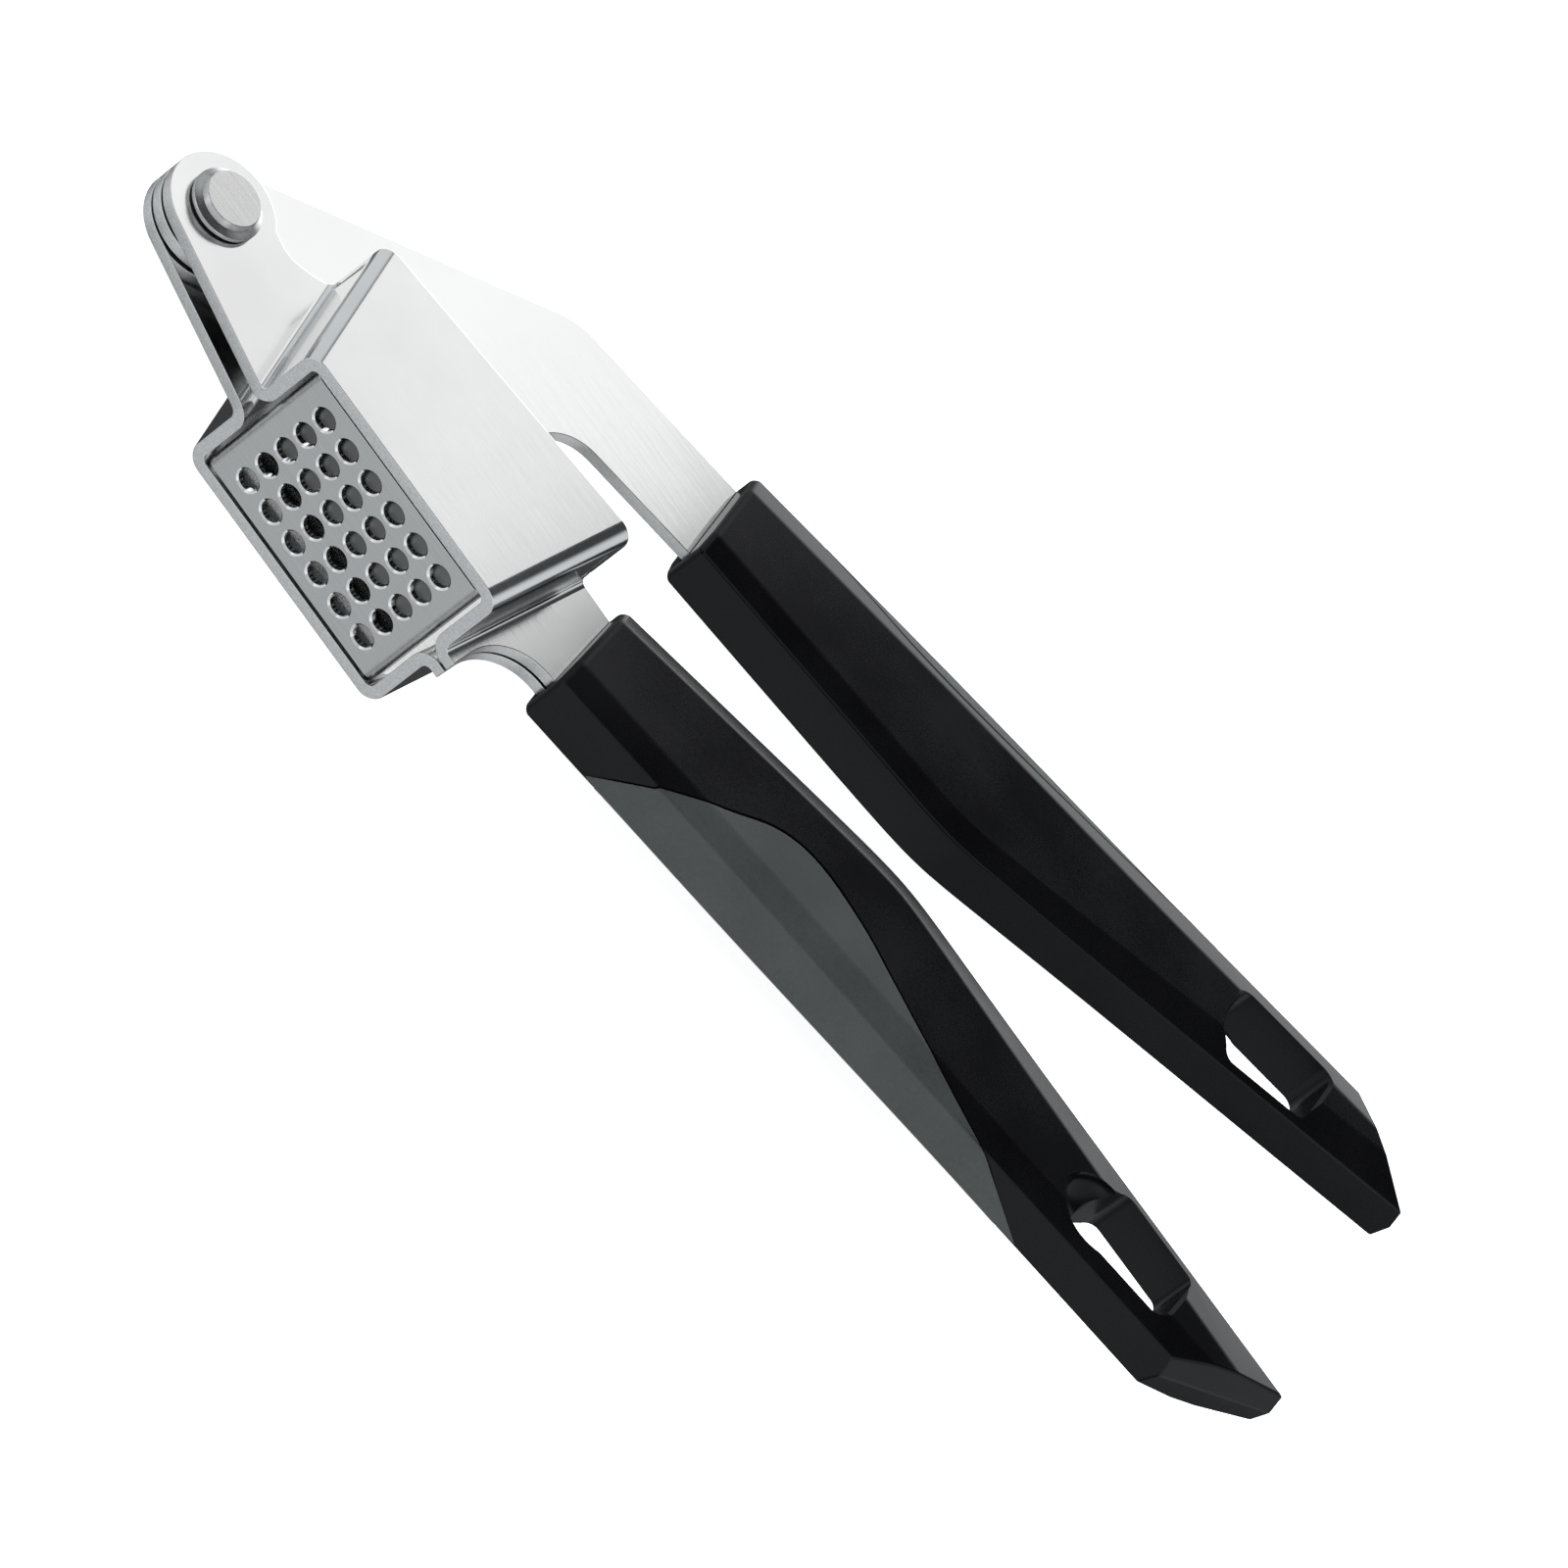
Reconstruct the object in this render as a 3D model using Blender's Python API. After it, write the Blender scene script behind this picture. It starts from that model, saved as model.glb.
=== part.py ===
"""Garlic press: two folded steel plates carry a sieve, a lever arm drives a hinged plunger."""
import math

import bmesh
import bpy
from mathutils import Matrix, Vector

# ---------------------------------------------------------------- driving dimensions
MM = 0.001
GAP = 0.3 * MM                      # clearance between touching pieces

# folded steel frame; x runs from the pivot to the handles, y is the opening direction
SHEET = 1.6 * MM                    # frame sheet
EAR_RADIUS = 6.95 * MM
EAR_GAP = 2.2 * MM                  # between the two ears, where the lever arm swings
EAR_DROP = math.radians(14.7)       # fall of the ear's lower edge towards the hopper
HOPPER_WIDTH = 24.8 * MM            # outside, across the two side walls
HOPPER_FLOOR = -11.9 * MM           # lower edge of the hopper, measured from the pivot
HOPPER_FRONT = 18.9 * MM            # outside of the pivot-side end wall at the floor
HOPPER_LENGTH = 33.9 * MM           # outside, along x at the floor
HOPPER_HEIGHT = 19.4 * MM           # side wall height at the pivot end
RIM_SLOPE = math.radians(5.9)       # rise of the rim towards the handles
FRONT_LEAN = math.radians(16.0)     # the pivot-side end wall leans out
BACK_LEAN = math.radians(5.5)       # the handle-side end wall leans out
CORNER = 2.4 * MM                   # outside radius of the hopper's corners
INNER_BEND = 0.9 * MM               # outside radius where end walls meet ears and tang
TAB_HEIGHT = 1.9 * MM               # hook tabs at the rim
TAB_GAP = 0.9 * MM                  # slot under a hook tab
TAB_REACH = 1.6 * MM                # how far a hook tab stands out beyond the ear
SCALLOP = 7.7 * MM                  # radius of the notch under the tang
TANG_LENGTH = 30.0 * MM             # of either steel plate inside its handle
TANG_TAPER = 0.7                    # height of a plate's end as a share of that width
NECK_AT = 4.0 * MM                  # depth at which a plate has narrowed to TANG_WIDTH
TANG_MARGIN = 1.1 * MM              # handle wall outside the tang
ARM_MARGIN = 1.0 * MM               # handle wall outside the lever arm

# sieve
SIEVE_SHEET = 1.0 * MM
SIEVE_ROWS = 6
SIEVE_COLUMNS = 5
HOLE = 2.75 * MM
PITCH_X = 4.18 * MM
PITCH_Z = 3.64 * MM
SIEVE_LIP = 4.0 * MM                # height of the turned-up ends
SIEVE_END_GAP = 0.6 * MM
SIEVE_BEND = 1.2 * MM              # outside radius of the turned-up ends
SIEVE_SEAT = 0.2 * MM               # above the hopper's lower edge

# pivot
RIVET_SHANK = 5.0 * MM
RIVET_HEAD = 8.9 * MM
RIVET_FACE = 7.0 * MM
RIVET_HEIGHT = 1.9 * MM

# lever arm
ARM_SHEET = 1.6 * MM
ARM_RISE = math.radians(41.0)       # slope of the arm's back near the pivot
ARM_SHOULDER = 31.5 * MM            # x where the back turns towards the handle
TONGUE_WIDTH = 7.0 * MM
ARM_CLOSING = math.radians(5.0)     # swing from the modelled pose down to fully closed
ARM_BACK_BEND = 9.0 * MM            # radius where the arm's back turns
ARM_PIT_BEND = 6.5 * MM             # radius between the tongue and the handle

# plunger
PLATE_SHEET = 1.6 * MM
PLATE_END_GAP = 0.4 * MM            # to the sieve's turned-up ends when closed
PLATE_SIDE_GAP = 0.6 * MM           # to the hopper's side walls
PLATE_SIEVE_GAP = 0.5 * MM          # above the sieve when closed
PLATE_CORNER = 1.2 * MM
LUG_WALL = 0.5 * MM                 # lug beyond the pin head
BRACKET_SHEET = 1.4 * MM
BRACKET_LENGTH = 12.0 * MM
PIN_HEIGHT = 7.8 * MM               # pin centre above the plate's lower face
PIN_SHANK = 3.2 * MM
PIN_HEAD = 5.2 * MM
PIN_HEAD_HEIGHT = 0.9 * MM

# handles: u runs along a handle from its front, v from the outer edge to the inner edge
HANDLE_LENGTH = 112.4 * MM
HANDLE_FRONT = 14.8 * MM            # height at the front
HANDLE_HUMP = 19.0 * MM             # height at the hump
HUMP_AT = 43.2 * MM
HUMP_BLEND = 0.5 * MM               # how softly the two runs meet at the hump
HANDLE_TAIL = 8.9 * MM              # height at the tip
HALF_FRONT = 4.7 * MM               # half thickness at the front
HALF_TAIL = 4.2 * MM                # half thickness behind the hump
THINNING = (0.6, 1.7)               # where it thins from one to the other, as shares of HUMP_AT
OUTER_CHAMFER = (3.2 * MM, 1.0 * MM)
INNER_CHAMFER = (2.6 * MM, 1.1 * MM)
INNER_FLARE = 2.3 * MM              # how much wider the inner bevel is at the tip
FACE_LEFT = 0.2 * MM                # least width of the flat side face
BOW_START = HANDLE_LENGTH - 12.2 * MM   # where the slanted tip begins on the outer edge
BOW_SIDE = (HANDLE_LENGTH - 7.4 * MM, 4.3 * MM)   # u and v where the tip's facets meet the side faces
LOWER_AT = (HOPPER_FRONT + HOPPER_LENGTH + 9.8 * MM, -2.1 * MM)   # outer front corner of the lower handle
LOWER_TURN = math.radians(8.7)
UPPER_AT = (HOPPER_FRONT + HOPPER_LENGTH + 3.7 * MM, 41.9 * MM)   # outer front corner of the upper handle
UPPER_TURN = math.radians(12.3)
UPPER_SCALE = 0.965                 # size of the upper handle as a share of the lower one
SLOT = (HANDLE_LENGTH - 31.2 * MM, HANDLE_LENGTH - 16.6 * MM)   # hanging slot from u to u
SLOT_WALL = 1.1 * MM                # between the slot and the inner edge
SLOT_FLOOR = 2.15 * MM              # between the slot and the outer edge
SLOT_SLANT = (3.0 * MM, 4.0 * MM)   # u and v taken off the slot's inner front corner
SLOT_RADII = (1.6 * MM, 1.8 * MM, 1.2 * MM, 2.0 * MM, 3.0 * MM)   # of its five corners in turn
PAD_DEPTH = 1.3 * MM
PAD_PEAK = 9.6 * MM                 # how far the pad climbs the side face
PAD_BACK = 1.9 * MM                 # how far it wraps on to the other side's bevel
PAD_LEAF = (15.8 * MM, HANDLE_LENGTH - 43.4 * MM)   # ends of the leaf on the side face
PAD_STRIP = (10.0 * MM, HANDLE_LENGTH - 32.4 * MM)  # ends of the strip on the other side
PLATE_WIDTH = HANDLE_FRONT - 2.1 * MM   # of either steel plate, at the mouth of its handle
TANG_WIDTH = HANDLE_FRONT - 5.8 * MM    # of either steel plate, just inside its handle
BAY = ((10.6 * MM, 4.6 * MM), (8.0 * MM, 3.9 * MM))   # dip of the ear's upper edge before the hopper
WEB_END = (16.0 * MM, 4.5 * MM)     # where the arm's lower edge leaves the ears
WEB_BEND = 2.0 * MM                 # radius in the corner above the tongue
ARC = 6                             # segments in a quarter circle of a fold

PIVOT = Vector((0.0, 0.0, 0.0))
HALF_WIDTH = HOPPER_WIDTH / 2
EAR_OUT = EAR_GAP / 2 + SHEET
TANG_OUT = GAP / 2 + SHEET
HOPPER_BACK = HOPPER_FRONT + HOPPER_LENGTH
SIEVE_TOP = HOPPER_FLOOR + SIEVE_SEAT + SIEVE_SHEET
LIP_INSIDE = SHEET + SIEVE_END_GAP + SIEVE_SHEET
PLATE_FRONT = HOPPER_FRONT + LIP_INSIDE + PLATE_END_GAP
PLATE_BACK = HOPPER_BACK - LIP_INSIDE - PLATE_END_GAP
RIM = HOPPER_FLOOR + HOPPER_HEIGHT
TAB_TIP = EAR_OUT + TAB_REACH
CUT = 2 * HALF_FRONT                # half length of a cutter through a handle


# ---------------------------------------------------------------- helpers
def clear_scene():
    """Start from an empty scene."""
    for item in list(bpy.data.objects):
        bpy.data.objects.remove(item, do_unlink=True)


def make_material(name, colour, roughness, metallic):
    """A plain Principled material."""
    material = bpy.data.materials.new(name)
    material.use_nodes = True
    shader = material.node_tree.nodes["Principled BSDF"]
    shader.inputs["Base Color"].default_value = (*colour, 1.0)
    shader.inputs["Roughness"].default_value = roughness
    shader.inputs["Metallic"].default_value = metallic
    return material


def add_object(name, mesh_builder, material=None):
    """Link one object made from a bmesh, with its normals facing out."""
    bmesh.ops.remove_doubles(mesh_builder, verts=mesh_builder.verts, dist=1e-7)
    bmesh.ops.recalc_face_normals(mesh_builder, faces=mesh_builder.faces)
    mesh = bpy.data.meshes.new(name)
    mesh_builder.to_mesh(mesh)
    mesh_builder.free()
    item = bpy.data.objects.new(name, mesh)
    bpy.context.collection.objects.link(item)
    if material:
        mesh.materials.append(material)
    return item


def loft(rings):
    """Skin a list of rings with the same number of points."""
    built = bmesh.new()
    loops = [[built.verts.new(point) for point in ring] for ring in rings]
    for first, second in zip(loops, loops[1:]):
        count = len(first)
        for i in range(count):
            j = (i + 1) % count
            built.faces.new((first[i], first[j], second[j], second[i]))
    built.faces.new(loops[0])
    built.faces.new(loops[-1])
    return built


def prism(outline, low, high):
    """Extrude an outline in x and y from z low to z high."""
    return loft([[(x, y, z) for x, y in outline] for z in (low, high)])


def arc(centre, radius, start, end, steps):
    """Points on an arc from start to end, angles in degrees."""
    points = []
    for i in range(steps + 1):
        angle = math.radians(start + (end - start) * i / steps)
        points.append((centre[0] + radius * math.cos(angle), centre[1] + radius * math.sin(angle)))
    return points


def rounded(points, radii, steps=ARC):
    """An open line through points, with each inner corner rounded to its radius."""
    line = [points[0]]
    for before, corner, after, radius in zip(points, points[1:], points[2:], radii):
        here = Vector(corner)
        back = (Vector(before) - here).normalized()
        ahead = (Vector(after) - here).normalized()
        half = math.acos(max(-1.0, min(1.0, back.dot(ahead)))) / 2
        reach = radius / math.tan(half)
        centre = here + (back + ahead).normalized() * (radius / math.sin(half))
        first = here + back * reach - centre
        turn = first.angle_signed(here + ahead * reach - centre)
        for i in range(steps + 1):
            step = Matrix.Rotation(-turn * i / steps, 2) @ first
            line.append(tuple(centre + step))
    line.append(points[-1])
    return line


def offset_line(points, distance):
    """Shift an open line of straight runs sideways, to its right, with mitred corners."""
    ahead = [(Vector(b) - Vector(a)).normalized() for a, b in zip(points, points[1:])]
    sides = [Vector((run.y, -run.x)) for run in ahead]
    moved = [Vector(points[0]) + sides[0] * distance]
    for corner, one, two in zip(points[1:], sides, sides[1:]):
        mitre = (one + two).normalized()
        moved.append(Vector(corner) + mitre * (distance / mitre.dot(one)))
    moved.append(Vector(points[-1]) + sides[-1] * distance)
    return [tuple(point) for point in moved]


def smooth_line(points, steps):
    """A Catmull-Rom line through points."""
    ends = [points[0]] + list(points) + [points[-1]]
    line = []
    for a, b, c, d in zip(ends, ends[1:], ends[2:], ends[3:]):
        for i in range(steps):
            t = i / steps
            line.append(tuple(
                0.5 * (2 * q + (r - p) * t + (2 * p - 5 * q + 4 * r - s) * t * t
                       + (3 * q - p - 3 * r + s) * t ** 3)
                for p, q, r, s in zip(a, b, c, d)))
    line.append(points[-1])
    return line


def as_cutter(item):
    """Keep a guide out of the finished model."""
    item.hide_render = True
    item.display_type = "WIRE"
    return item


def apply_boolean(target, tool, operation="DIFFERENCE"):
    """Add an exact Boolean to the target."""
    as_cutter(tool)
    modifier = target.modifiers.new(tool.name, "BOOLEAN")
    modifier.operation = operation
    modifier.solver = "EXACT"
    modifier.object = tool


def cylinder_cutter(name, x, y, radius, half_length, sides=24):
    """A round cutter along z."""
    ring = arc((x, y), radius, 0, 360, sides)[:-1]
    return as_cutter(add_object(name, prism(ring, -half_length, half_length)))


def handle_point(at, turn, inward, u, v):
    """A point of a handle's own u and v directions in x and y."""
    along = Vector((math.cos(turn), math.sin(turn)))
    across = Vector((-along.y, along.x)) * inward
    return tuple(Vector(at) + along * u + across * v)


def tail_profile(low, high, room=0.0):
    """A steel plate's end inside a handle, in u and v: mouth, neck and tapered tail."""
    inset = (high - low - TANG_WIDTH) / 2
    tail = TANG_WIDTH * (1 - TANG_TAPER) / 2
    end = TANG_LENGTH + room
    lower = [(room, low - room), (NECK_AT, low + inset - room), (end, low + inset + tail - room)]
    upper = [(end, high - inset - tail + room), (NECK_AT, high - inset + room), (room, high + room)]
    if room:
        lower.insert(0, (-3 * room, low - room))
        upper.append((-3 * room, high + room))
    return lower + upper


def plate_tail(at, turn, inward, low, high, scale=1.0):
    """The same end on the press, in a handle of that scale."""
    return [handle_point(at, turn, inward, u * scale, v * scale) for u, v in tail_profile(low, high)]


# ---------------------------------------------------------------- frame plates
def front_wall_at(y):
    """Outside x of the pivot-side end wall at a height."""
    return HOPPER_FRONT - math.tan(FRONT_LEAN) * (y - HOPPER_FLOOR)


def back_wall_at(y):
    """Outside x of the handle-side end wall at a height."""
    return HOPPER_BACK + math.tan(BACK_LEAN) * (y - HOPPER_FLOOR)


def rim_at(x):
    """Height of the hopper's rim."""
    return RIM + math.tan(RIM_SLOPE) * (x - front_wall_at(0.0))


def fold_ring(y, side):
    """The folded sheet's cross-section at a height; side is +1 near or -1 far."""
    outside = [
        (-2 * EAR_RADIUS, EAR_OUT),
        (front_wall_at(y), EAR_OUT),
        (front_wall_at(y), HALF_WIDTH),
        (back_wall_at(y), HALF_WIDTH),
        (back_wall_at(y), TANG_OUT),
        (LOWER_AT[0] + TANG_LENGTH, TANG_OUT),
    ]
    radii = (INNER_BEND, CORNER, CORNER, INNER_BEND)
    inner = offset_line(outside, SHEET)
    inner_radii = (INNER_BEND + SHEET, CORNER - SHEET, CORNER - SHEET, INNER_BEND + SHEET)
    ring = rounded(outside, radii) + rounded(inner, inner_radii)[::-1]
    return [(x, y, side * z) for x, z in ring]


def frame_outline():
    """Side view of a frame plate: ear, hopper wall and tang."""
    ear = arc((0.0, 0.0), EAR_RADIUS, 40, 270 - math.degrees(EAR_DROP), 14)
    tail = plate_tail(LOWER_AT, LOWER_TURN, 1, TANG_MARGIN, TANG_MARGIN + PLATE_WIDTH)
    mouth_low = tail[0]
    scallop_at = mouth_low[0] - SCALLOP
    notch = arc((mouth_low[0], mouth_low[1] - SCALLOP), SCALLOP, 180, 90, 6)[:-1]
    back = back_wall_at(0.0) + SHEET
    front = front_wall_at(RIM - TAB_HEIGHT)
    shoulder = (front - GAP, rim_at(front))
    bay = smooth_line([(shoulder[0], shoulder[1] - 0.5 * TAB_HEIGHT), *BAY, ear[0]], 3)[:-1]
    floor_corner = (front_wall_at(HOPPER_FLOOR), HOPPER_FLOOR)
    return (ear + [floor_corner, (scallop_at, HOPPER_FLOOR)] + notch + tail
            + [(back, rim_at(back)), shoulder] + bay)


def tab_notch(name, side, at_front):
    """Cutter between a hook tab and the end wall under it, seen along x."""
    wall = front_wall_at(RIM) if at_front else back_wall_at(RIM)
    top = rim_at(wall)
    tab_low = top - TAB_HEIGHT
    corner = HALF_WIDTH - CORNER - GAP
    wedge = [
        (EAR_OUT + INNER_BEND, tab_low + 0.2 * TAB_HEIGHT),
        (TAB_TIP - 2 * GAP, top + TAB_HEIGHT),
        (TAB_TIP - GAP, tab_low + 0.4 * TAB_HEIGHT),
        (TAB_TIP + TAB_GAP, tab_low),
        (corner, tab_low),
        (corner, tab_low - TAB_GAP),
        (EAR_OUT + INNER_BEND, tab_low - 0.2 * TAB_GAP),
    ]
    low, high = wall - 3 * SHEET, wall + 3 * SHEET
    rings = [[(x, y, side * z) for z, y in wedge] for x in (low, high)]
    return as_cutter(add_object(name, loft(rings)))


def build_frame_plate(name, side, material):
    """One folded steel plate."""
    low, high = HOPPER_FLOOR - SHEET, max(RIM, LOWER_AT[1] + HANDLE_HUMP) + 4 * SHEET
    plate = add_object(name, loft([fold_ring(low, side), fold_ring(high, side)]), material)
    outline = add_object(name + "_outline", prism(frame_outline(), -HALF_WIDTH - MM, HALF_WIDTH + MM))
    apply_boolean(plate, outline, "INTERSECT")
    for at_front in (True, False):
        label = name + ("_front_notch" if at_front else "_back_notch")
        apply_boolean(plate, tab_notch(label, side, at_front))
    apply_boolean(plate, cylinder_cutter(name + "_bore", 0, 0, RIVET_SHANK / 2 + GAP, HALF_WIDTH))
    return plate


# ---------------------------------------------------------------- sieve
def build_sieve(material):
    """Perforated insert with turned-up ends."""
    front = HOPPER_FRONT + SHEET + SIEVE_END_GAP
    back = HOPPER_BACK - SHEET - SIEVE_END_GAP
    floor = SIEVE_TOP - SIEVE_SHEET
    lean = math.tan(FRONT_LEAN) * SIEVE_LIP
    line = [(front - lean, floor + SIEVE_LIP), (front, floor), (back, floor), (back, floor + SIEVE_LIP)]
    inner = offset_line(line, -SIEVE_SHEET)
    tight = SIEVE_BEND - SIEVE_SHEET * 0.8
    ring = rounded(line, (SIEVE_BEND, SIEVE_BEND), 4) + rounded(inner, (tight, tight), 4)[::-1]
    half = HALF_WIDTH - SHEET - GAP
    sieve = add_object("sieve_plate", prism(ring, -half, half), material)
    holes = bmesh.new()
    middle = (front + back) / 2
    for row in range(SIEVE_ROWS):
        for column in range(SIEVE_COLUMNS):
            x = middle + (row - (SIEVE_ROWS - 1) / 2) * PITCH_X
            z = (column - (SIEVE_COLUMNS - 1) / 2) * PITCH_Z
            place = Matrix.Translation((x, floor, z)) @ Matrix.Rotation(math.pi / 2, 4, "X")
            bmesh.ops.create_cone(holes, cap_ends=True, segments=12, radius1=HOLE / 2,
                                  radius2=HOLE / 2, depth=3 * SIEVE_SHEET, matrix=place)
    apply_boolean(sieve, add_object("sieve_holes", holes))
    return sieve


# ---------------------------------------------------------------- turned pieces
def turned(name, profile, material, sides=32):
    """A body of revolution about z from (radius, z) points, listed from low z to high z."""
    rings = []
    for radius, z in profile:
        rings.append([(radius * math.cos(2 * math.pi * i / sides),
                       radius * math.sin(2 * math.pi * i / sides), z) for i in range(sides)])
    return add_object(name, loft(rings), material)


def build_rivet(material):
    """Pivot rivet with a stepped head at each end."""
    shank, head, face = RIVET_SHANK / 2, RIVET_HEAD / 2, RIVET_FACE / 2
    seat = EAR_OUT + GAP
    top = seat + RIVET_HEIGHT
    step = (head - face) * 0.45
    half = [(shank, seat), (head, seat), (head, seat + 0.35 * RIVET_HEIGHT),
            (face + step, seat + 0.55 * RIVET_HEIGHT), (face, top)]
    profile = [(radius, -z) for radius, z in half[::-1]] + half
    return turned("pivot_rivet", profile, material)


def build_pin(parent_at, material):
    """Plunger pin with a flat head at each end."""
    shank, head = PIN_SHANK / 2, PIN_HEAD / 2
    seat = ARM_SHEET / 2 + GAP + BRACKET_SHEET + GAP
    top = seat + PIN_HEAD_HEIGHT
    profile = [(head, -top), (head, -seat), (shank, -seat), (shank, seat), (head, seat), (head, top)]
    pin = turned("plunger_pin", profile, material, 20)
    pin.location = parent_at
    return pin


# ---------------------------------------------------------------- lever arm and plunger
def pin_position():
    """Pin centre in the modelled pose, the closed position swung open by ARM_CLOSING."""
    closed = Vector(((PLATE_FRONT + PLATE_BACK) / 2, SIEVE_TOP + PLATE_SIEVE_GAP + PIN_HEIGHT, 0.0))
    return Matrix.Rotation(ARM_CLOSING, 3, "Z") @ closed


def build_arm(pin, material):
    """Flat lever plate with a tongue to the plunger pin, cut away where the plunger folds up."""
    rise = math.degrees(ARM_RISE)
    disc = arc((0.0, 0.0), EAR_RADIUS, 90 + rise, 310, 12)
    start = disc[0]
    shoulder = (ARM_SHOULDER, start[1] + math.tan(ARM_RISE) * (ARM_SHOULDER - start[0]))
    mouth_high, *tail_high, mouth_low = plate_tail(UPPER_AT, UPPER_TURN, -1, ARM_MARGIN,
                                                   ARM_MARGIN + PLATE_WIDTH, UPPER_SCALE)
    half = TONGUE_WIDTH / 2
    armpit = handle_point(UPPER_AT, UPPER_TURN, -1, pin.x + half - UPPER_AT[0],
                          (ARM_MARGIN + PLATE_WIDTH) * UPPER_SCALE)
    tip = arc((pin.x, pin.y), half, 0, -180, 10)
    room = math.hypot((PLATE_BACK - PLATE_FRONT) / 2, PIN_HEIGHT) + 2 * GAP
    scoop = arc((pin.x, pin.y), room, 160, 115, 8)
    corner = (pin.x - half, scoop[-1][1] + WEB_BEND)
    web = rounded([disc[-1], WEB_END, scoop[0]], (4 * WEB_BEND,), 4)[1:]
    web += scoop[1:-1] + rounded([scoop[-1], corner, tip[-1]], (WEB_BEND,), 4)[:-1]
    under = rounded([mouth_low, (pin.x + half, armpit[1]), tip[0]], (ARM_PIT_BEND,), 8)[1:-1]
    back = rounded([mouth_high, shoulder, start], (ARM_BACK_BEND,), 5)[1:-1]
    outline = disc + web + tip[::-1] + under[::-1] + [mouth_low] + tail_high[::-1] + [mouth_high] + back
    arm = add_object("lever_arm", prism(outline, -ARM_SHEET / 2, ARM_SHEET / 2), material)
    apply_boolean(arm, cylinder_cutter("arm_bore", 0, 0, RIVET_SHANK / 2 + GAP, 2 * ARM_SHEET))
    bore = cylinder_cutter("tongue_bore", pin.x, pin.y, PIN_SHANK / 2 + GAP, 2 * ARM_SHEET, 20)
    apply_boolean(arm, bore)
    return arm


def build_pressing_plate(material):
    """Face plate of the plunger, modelled about the pin."""
    half_length = (PLATE_BACK - PLATE_FRONT) / 2
    half_width = HALF_WIDTH - SHEET - PLATE_SIDE_GAP
    low, high = -PIN_HEIGHT, -PIN_HEIGHT + PLATE_SHEET
    points = [(-half_length, -half_width), (half_length, -half_width),
              (half_length, half_width), (-half_length, half_width)]
    ring = []
    for i, point in enumerate(points):
        ring += rounded([points[i - 1], point, points[(i + 1) % 4]], (PLATE_CORNER,), 3)[1:-1]
    rings = [[(x, y, z) for x, z in ring] for y in (low, high)]
    return add_object("pressing_plate", loft(rings), material)


def build_bracket(material):
    """Folded bracket on the pressing plate, with two lugs for the pin."""
    inside = ARM_SHEET / 2 + GAP
    outside = inside + BRACKET_SHEET
    floor = -PIN_HEIGHT + PLATE_SHEET + GAP
    half = BRACKET_LENGTH / 2
    base = bmesh.new()
    size = Matrix.Diagonal((2 * half, BRACKET_SHEET, 2 * outside, 1.0))
    bmesh.ops.create_cube(base, size=1.0, matrix=Matrix.Translation((0, floor + BRACKET_SHEET / 2, 0)) @ size)
    bracket = add_object("hinge_bracket", base, material)
    crown = arc((0.0, 0.0), PIN_HEAD / 2 + LUG_WALL, 160, 20, 8)
    lug = [(half, floor + 0.2 * BRACKET_SHEET)] + crown[::-1] + [(-half, floor + 0.2 * BRACKET_SHEET)]
    for side, label in ((1, "near"), (-1, "far")):
        low, high = sorted((side * inside, side * outside))
        apply_boolean(bracket, add_object("lug_" + label, prism(lug, low, high)), "UNION")
    apply_boolean(bracket, cylinder_cutter("bracket_bore", 0, 0, PIN_SHANK / 2 + GAP, 2 * outside, 20))
    return bracket


# ---------------------------------------------------------------- handles
def handle_height(u):
    """Height of a handle at u: a rounded hump between two straight runs."""
    rise = HANDLE_FRONT + (HANDLE_HUMP - HANDLE_FRONT) * u / HUMP_AT
    fall = HANDLE_HUMP + (HANDLE_TAIL - HANDLE_HUMP) * (u - HUMP_AT) / (HANDLE_LENGTH - HUMP_AT)
    return -HUMP_BLEND * math.log(math.exp(-rise / HUMP_BLEND) + math.exp(-fall / HUMP_BLEND))


def half_thickness(u):
    """Half of a handle's thickness at u."""
    start, end = THINNING
    share = min(1.0, max(0.0, (u / HUMP_AT - start) / (end - start)))
    share = share * share * (3 - 2 * share)
    return HALF_FRONT + (HALF_TAIL - HALF_FRONT) * share


def handle_ring(u, inset=0.0):
    """A handle's cross-section at u as (u, v, z) points."""
    high = handle_height(u) - inset
    low = inset
    side = half_thickness(u) - inset
    outer_v, outer_z = OUTER_CHAMFER
    inner_v, inner_z = INNER_CHAMFER
    inner_v += INNER_FLARE * max(0.0, (u - HUMP_AT) / (HANDLE_LENGTH - HUMP_AT))
    knee = max(high - inner_v, low + outer_v + FACE_LEFT)
    half = [(low, side - outer_z), (low + outer_v, side), (knee, side), (high, side - inner_z)]
    return [(u, v, z) for v, z in half] + [(u, v, -z) for v, z in half[::-1]]


def handle_mesh(inset=0.0):
    """The handle's outer form, or a core inset inside it."""
    tail = HANDLE_LENGTH - HUMP_AT
    stations = [0.0, 0.35 * HUMP_AT, 0.7 * HUMP_AT]
    stations += [HUMP_AT + step * MM for step in (-7, -4, -2, 0, 2, 4, 7)]
    stations += [HUMP_AT + share * tail for share in (0.32, 0.54, 1.0)]
    body = loft([handle_ring(u, inset) for u in stations])
    ridge = Vector((BOW_START, 0.0, 0.0))
    tip = Vector((HANDLE_LENGTH, HANDLE_TAIL, 0.0))
    for side in (1, -1):
        crease = Vector((*BOW_SIDE, side * HALF_TAIL))
        normal = (tip - ridge).cross(crease - ridge).normalized()
        if normal.x < 0:
            normal = -normal
        parts = list(body.verts) + list(body.edges) + list(body.faces)
        bmesh.ops.bisect_plane(body, geom=parts, dist=1e-7, plane_co=ridge, plane_no=normal, clear_outer=True)
        border = [edge for edge in body.edges if edge.is_boundary]
        bmesh.ops.holes_fill(body, edges=border)
    return body


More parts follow.
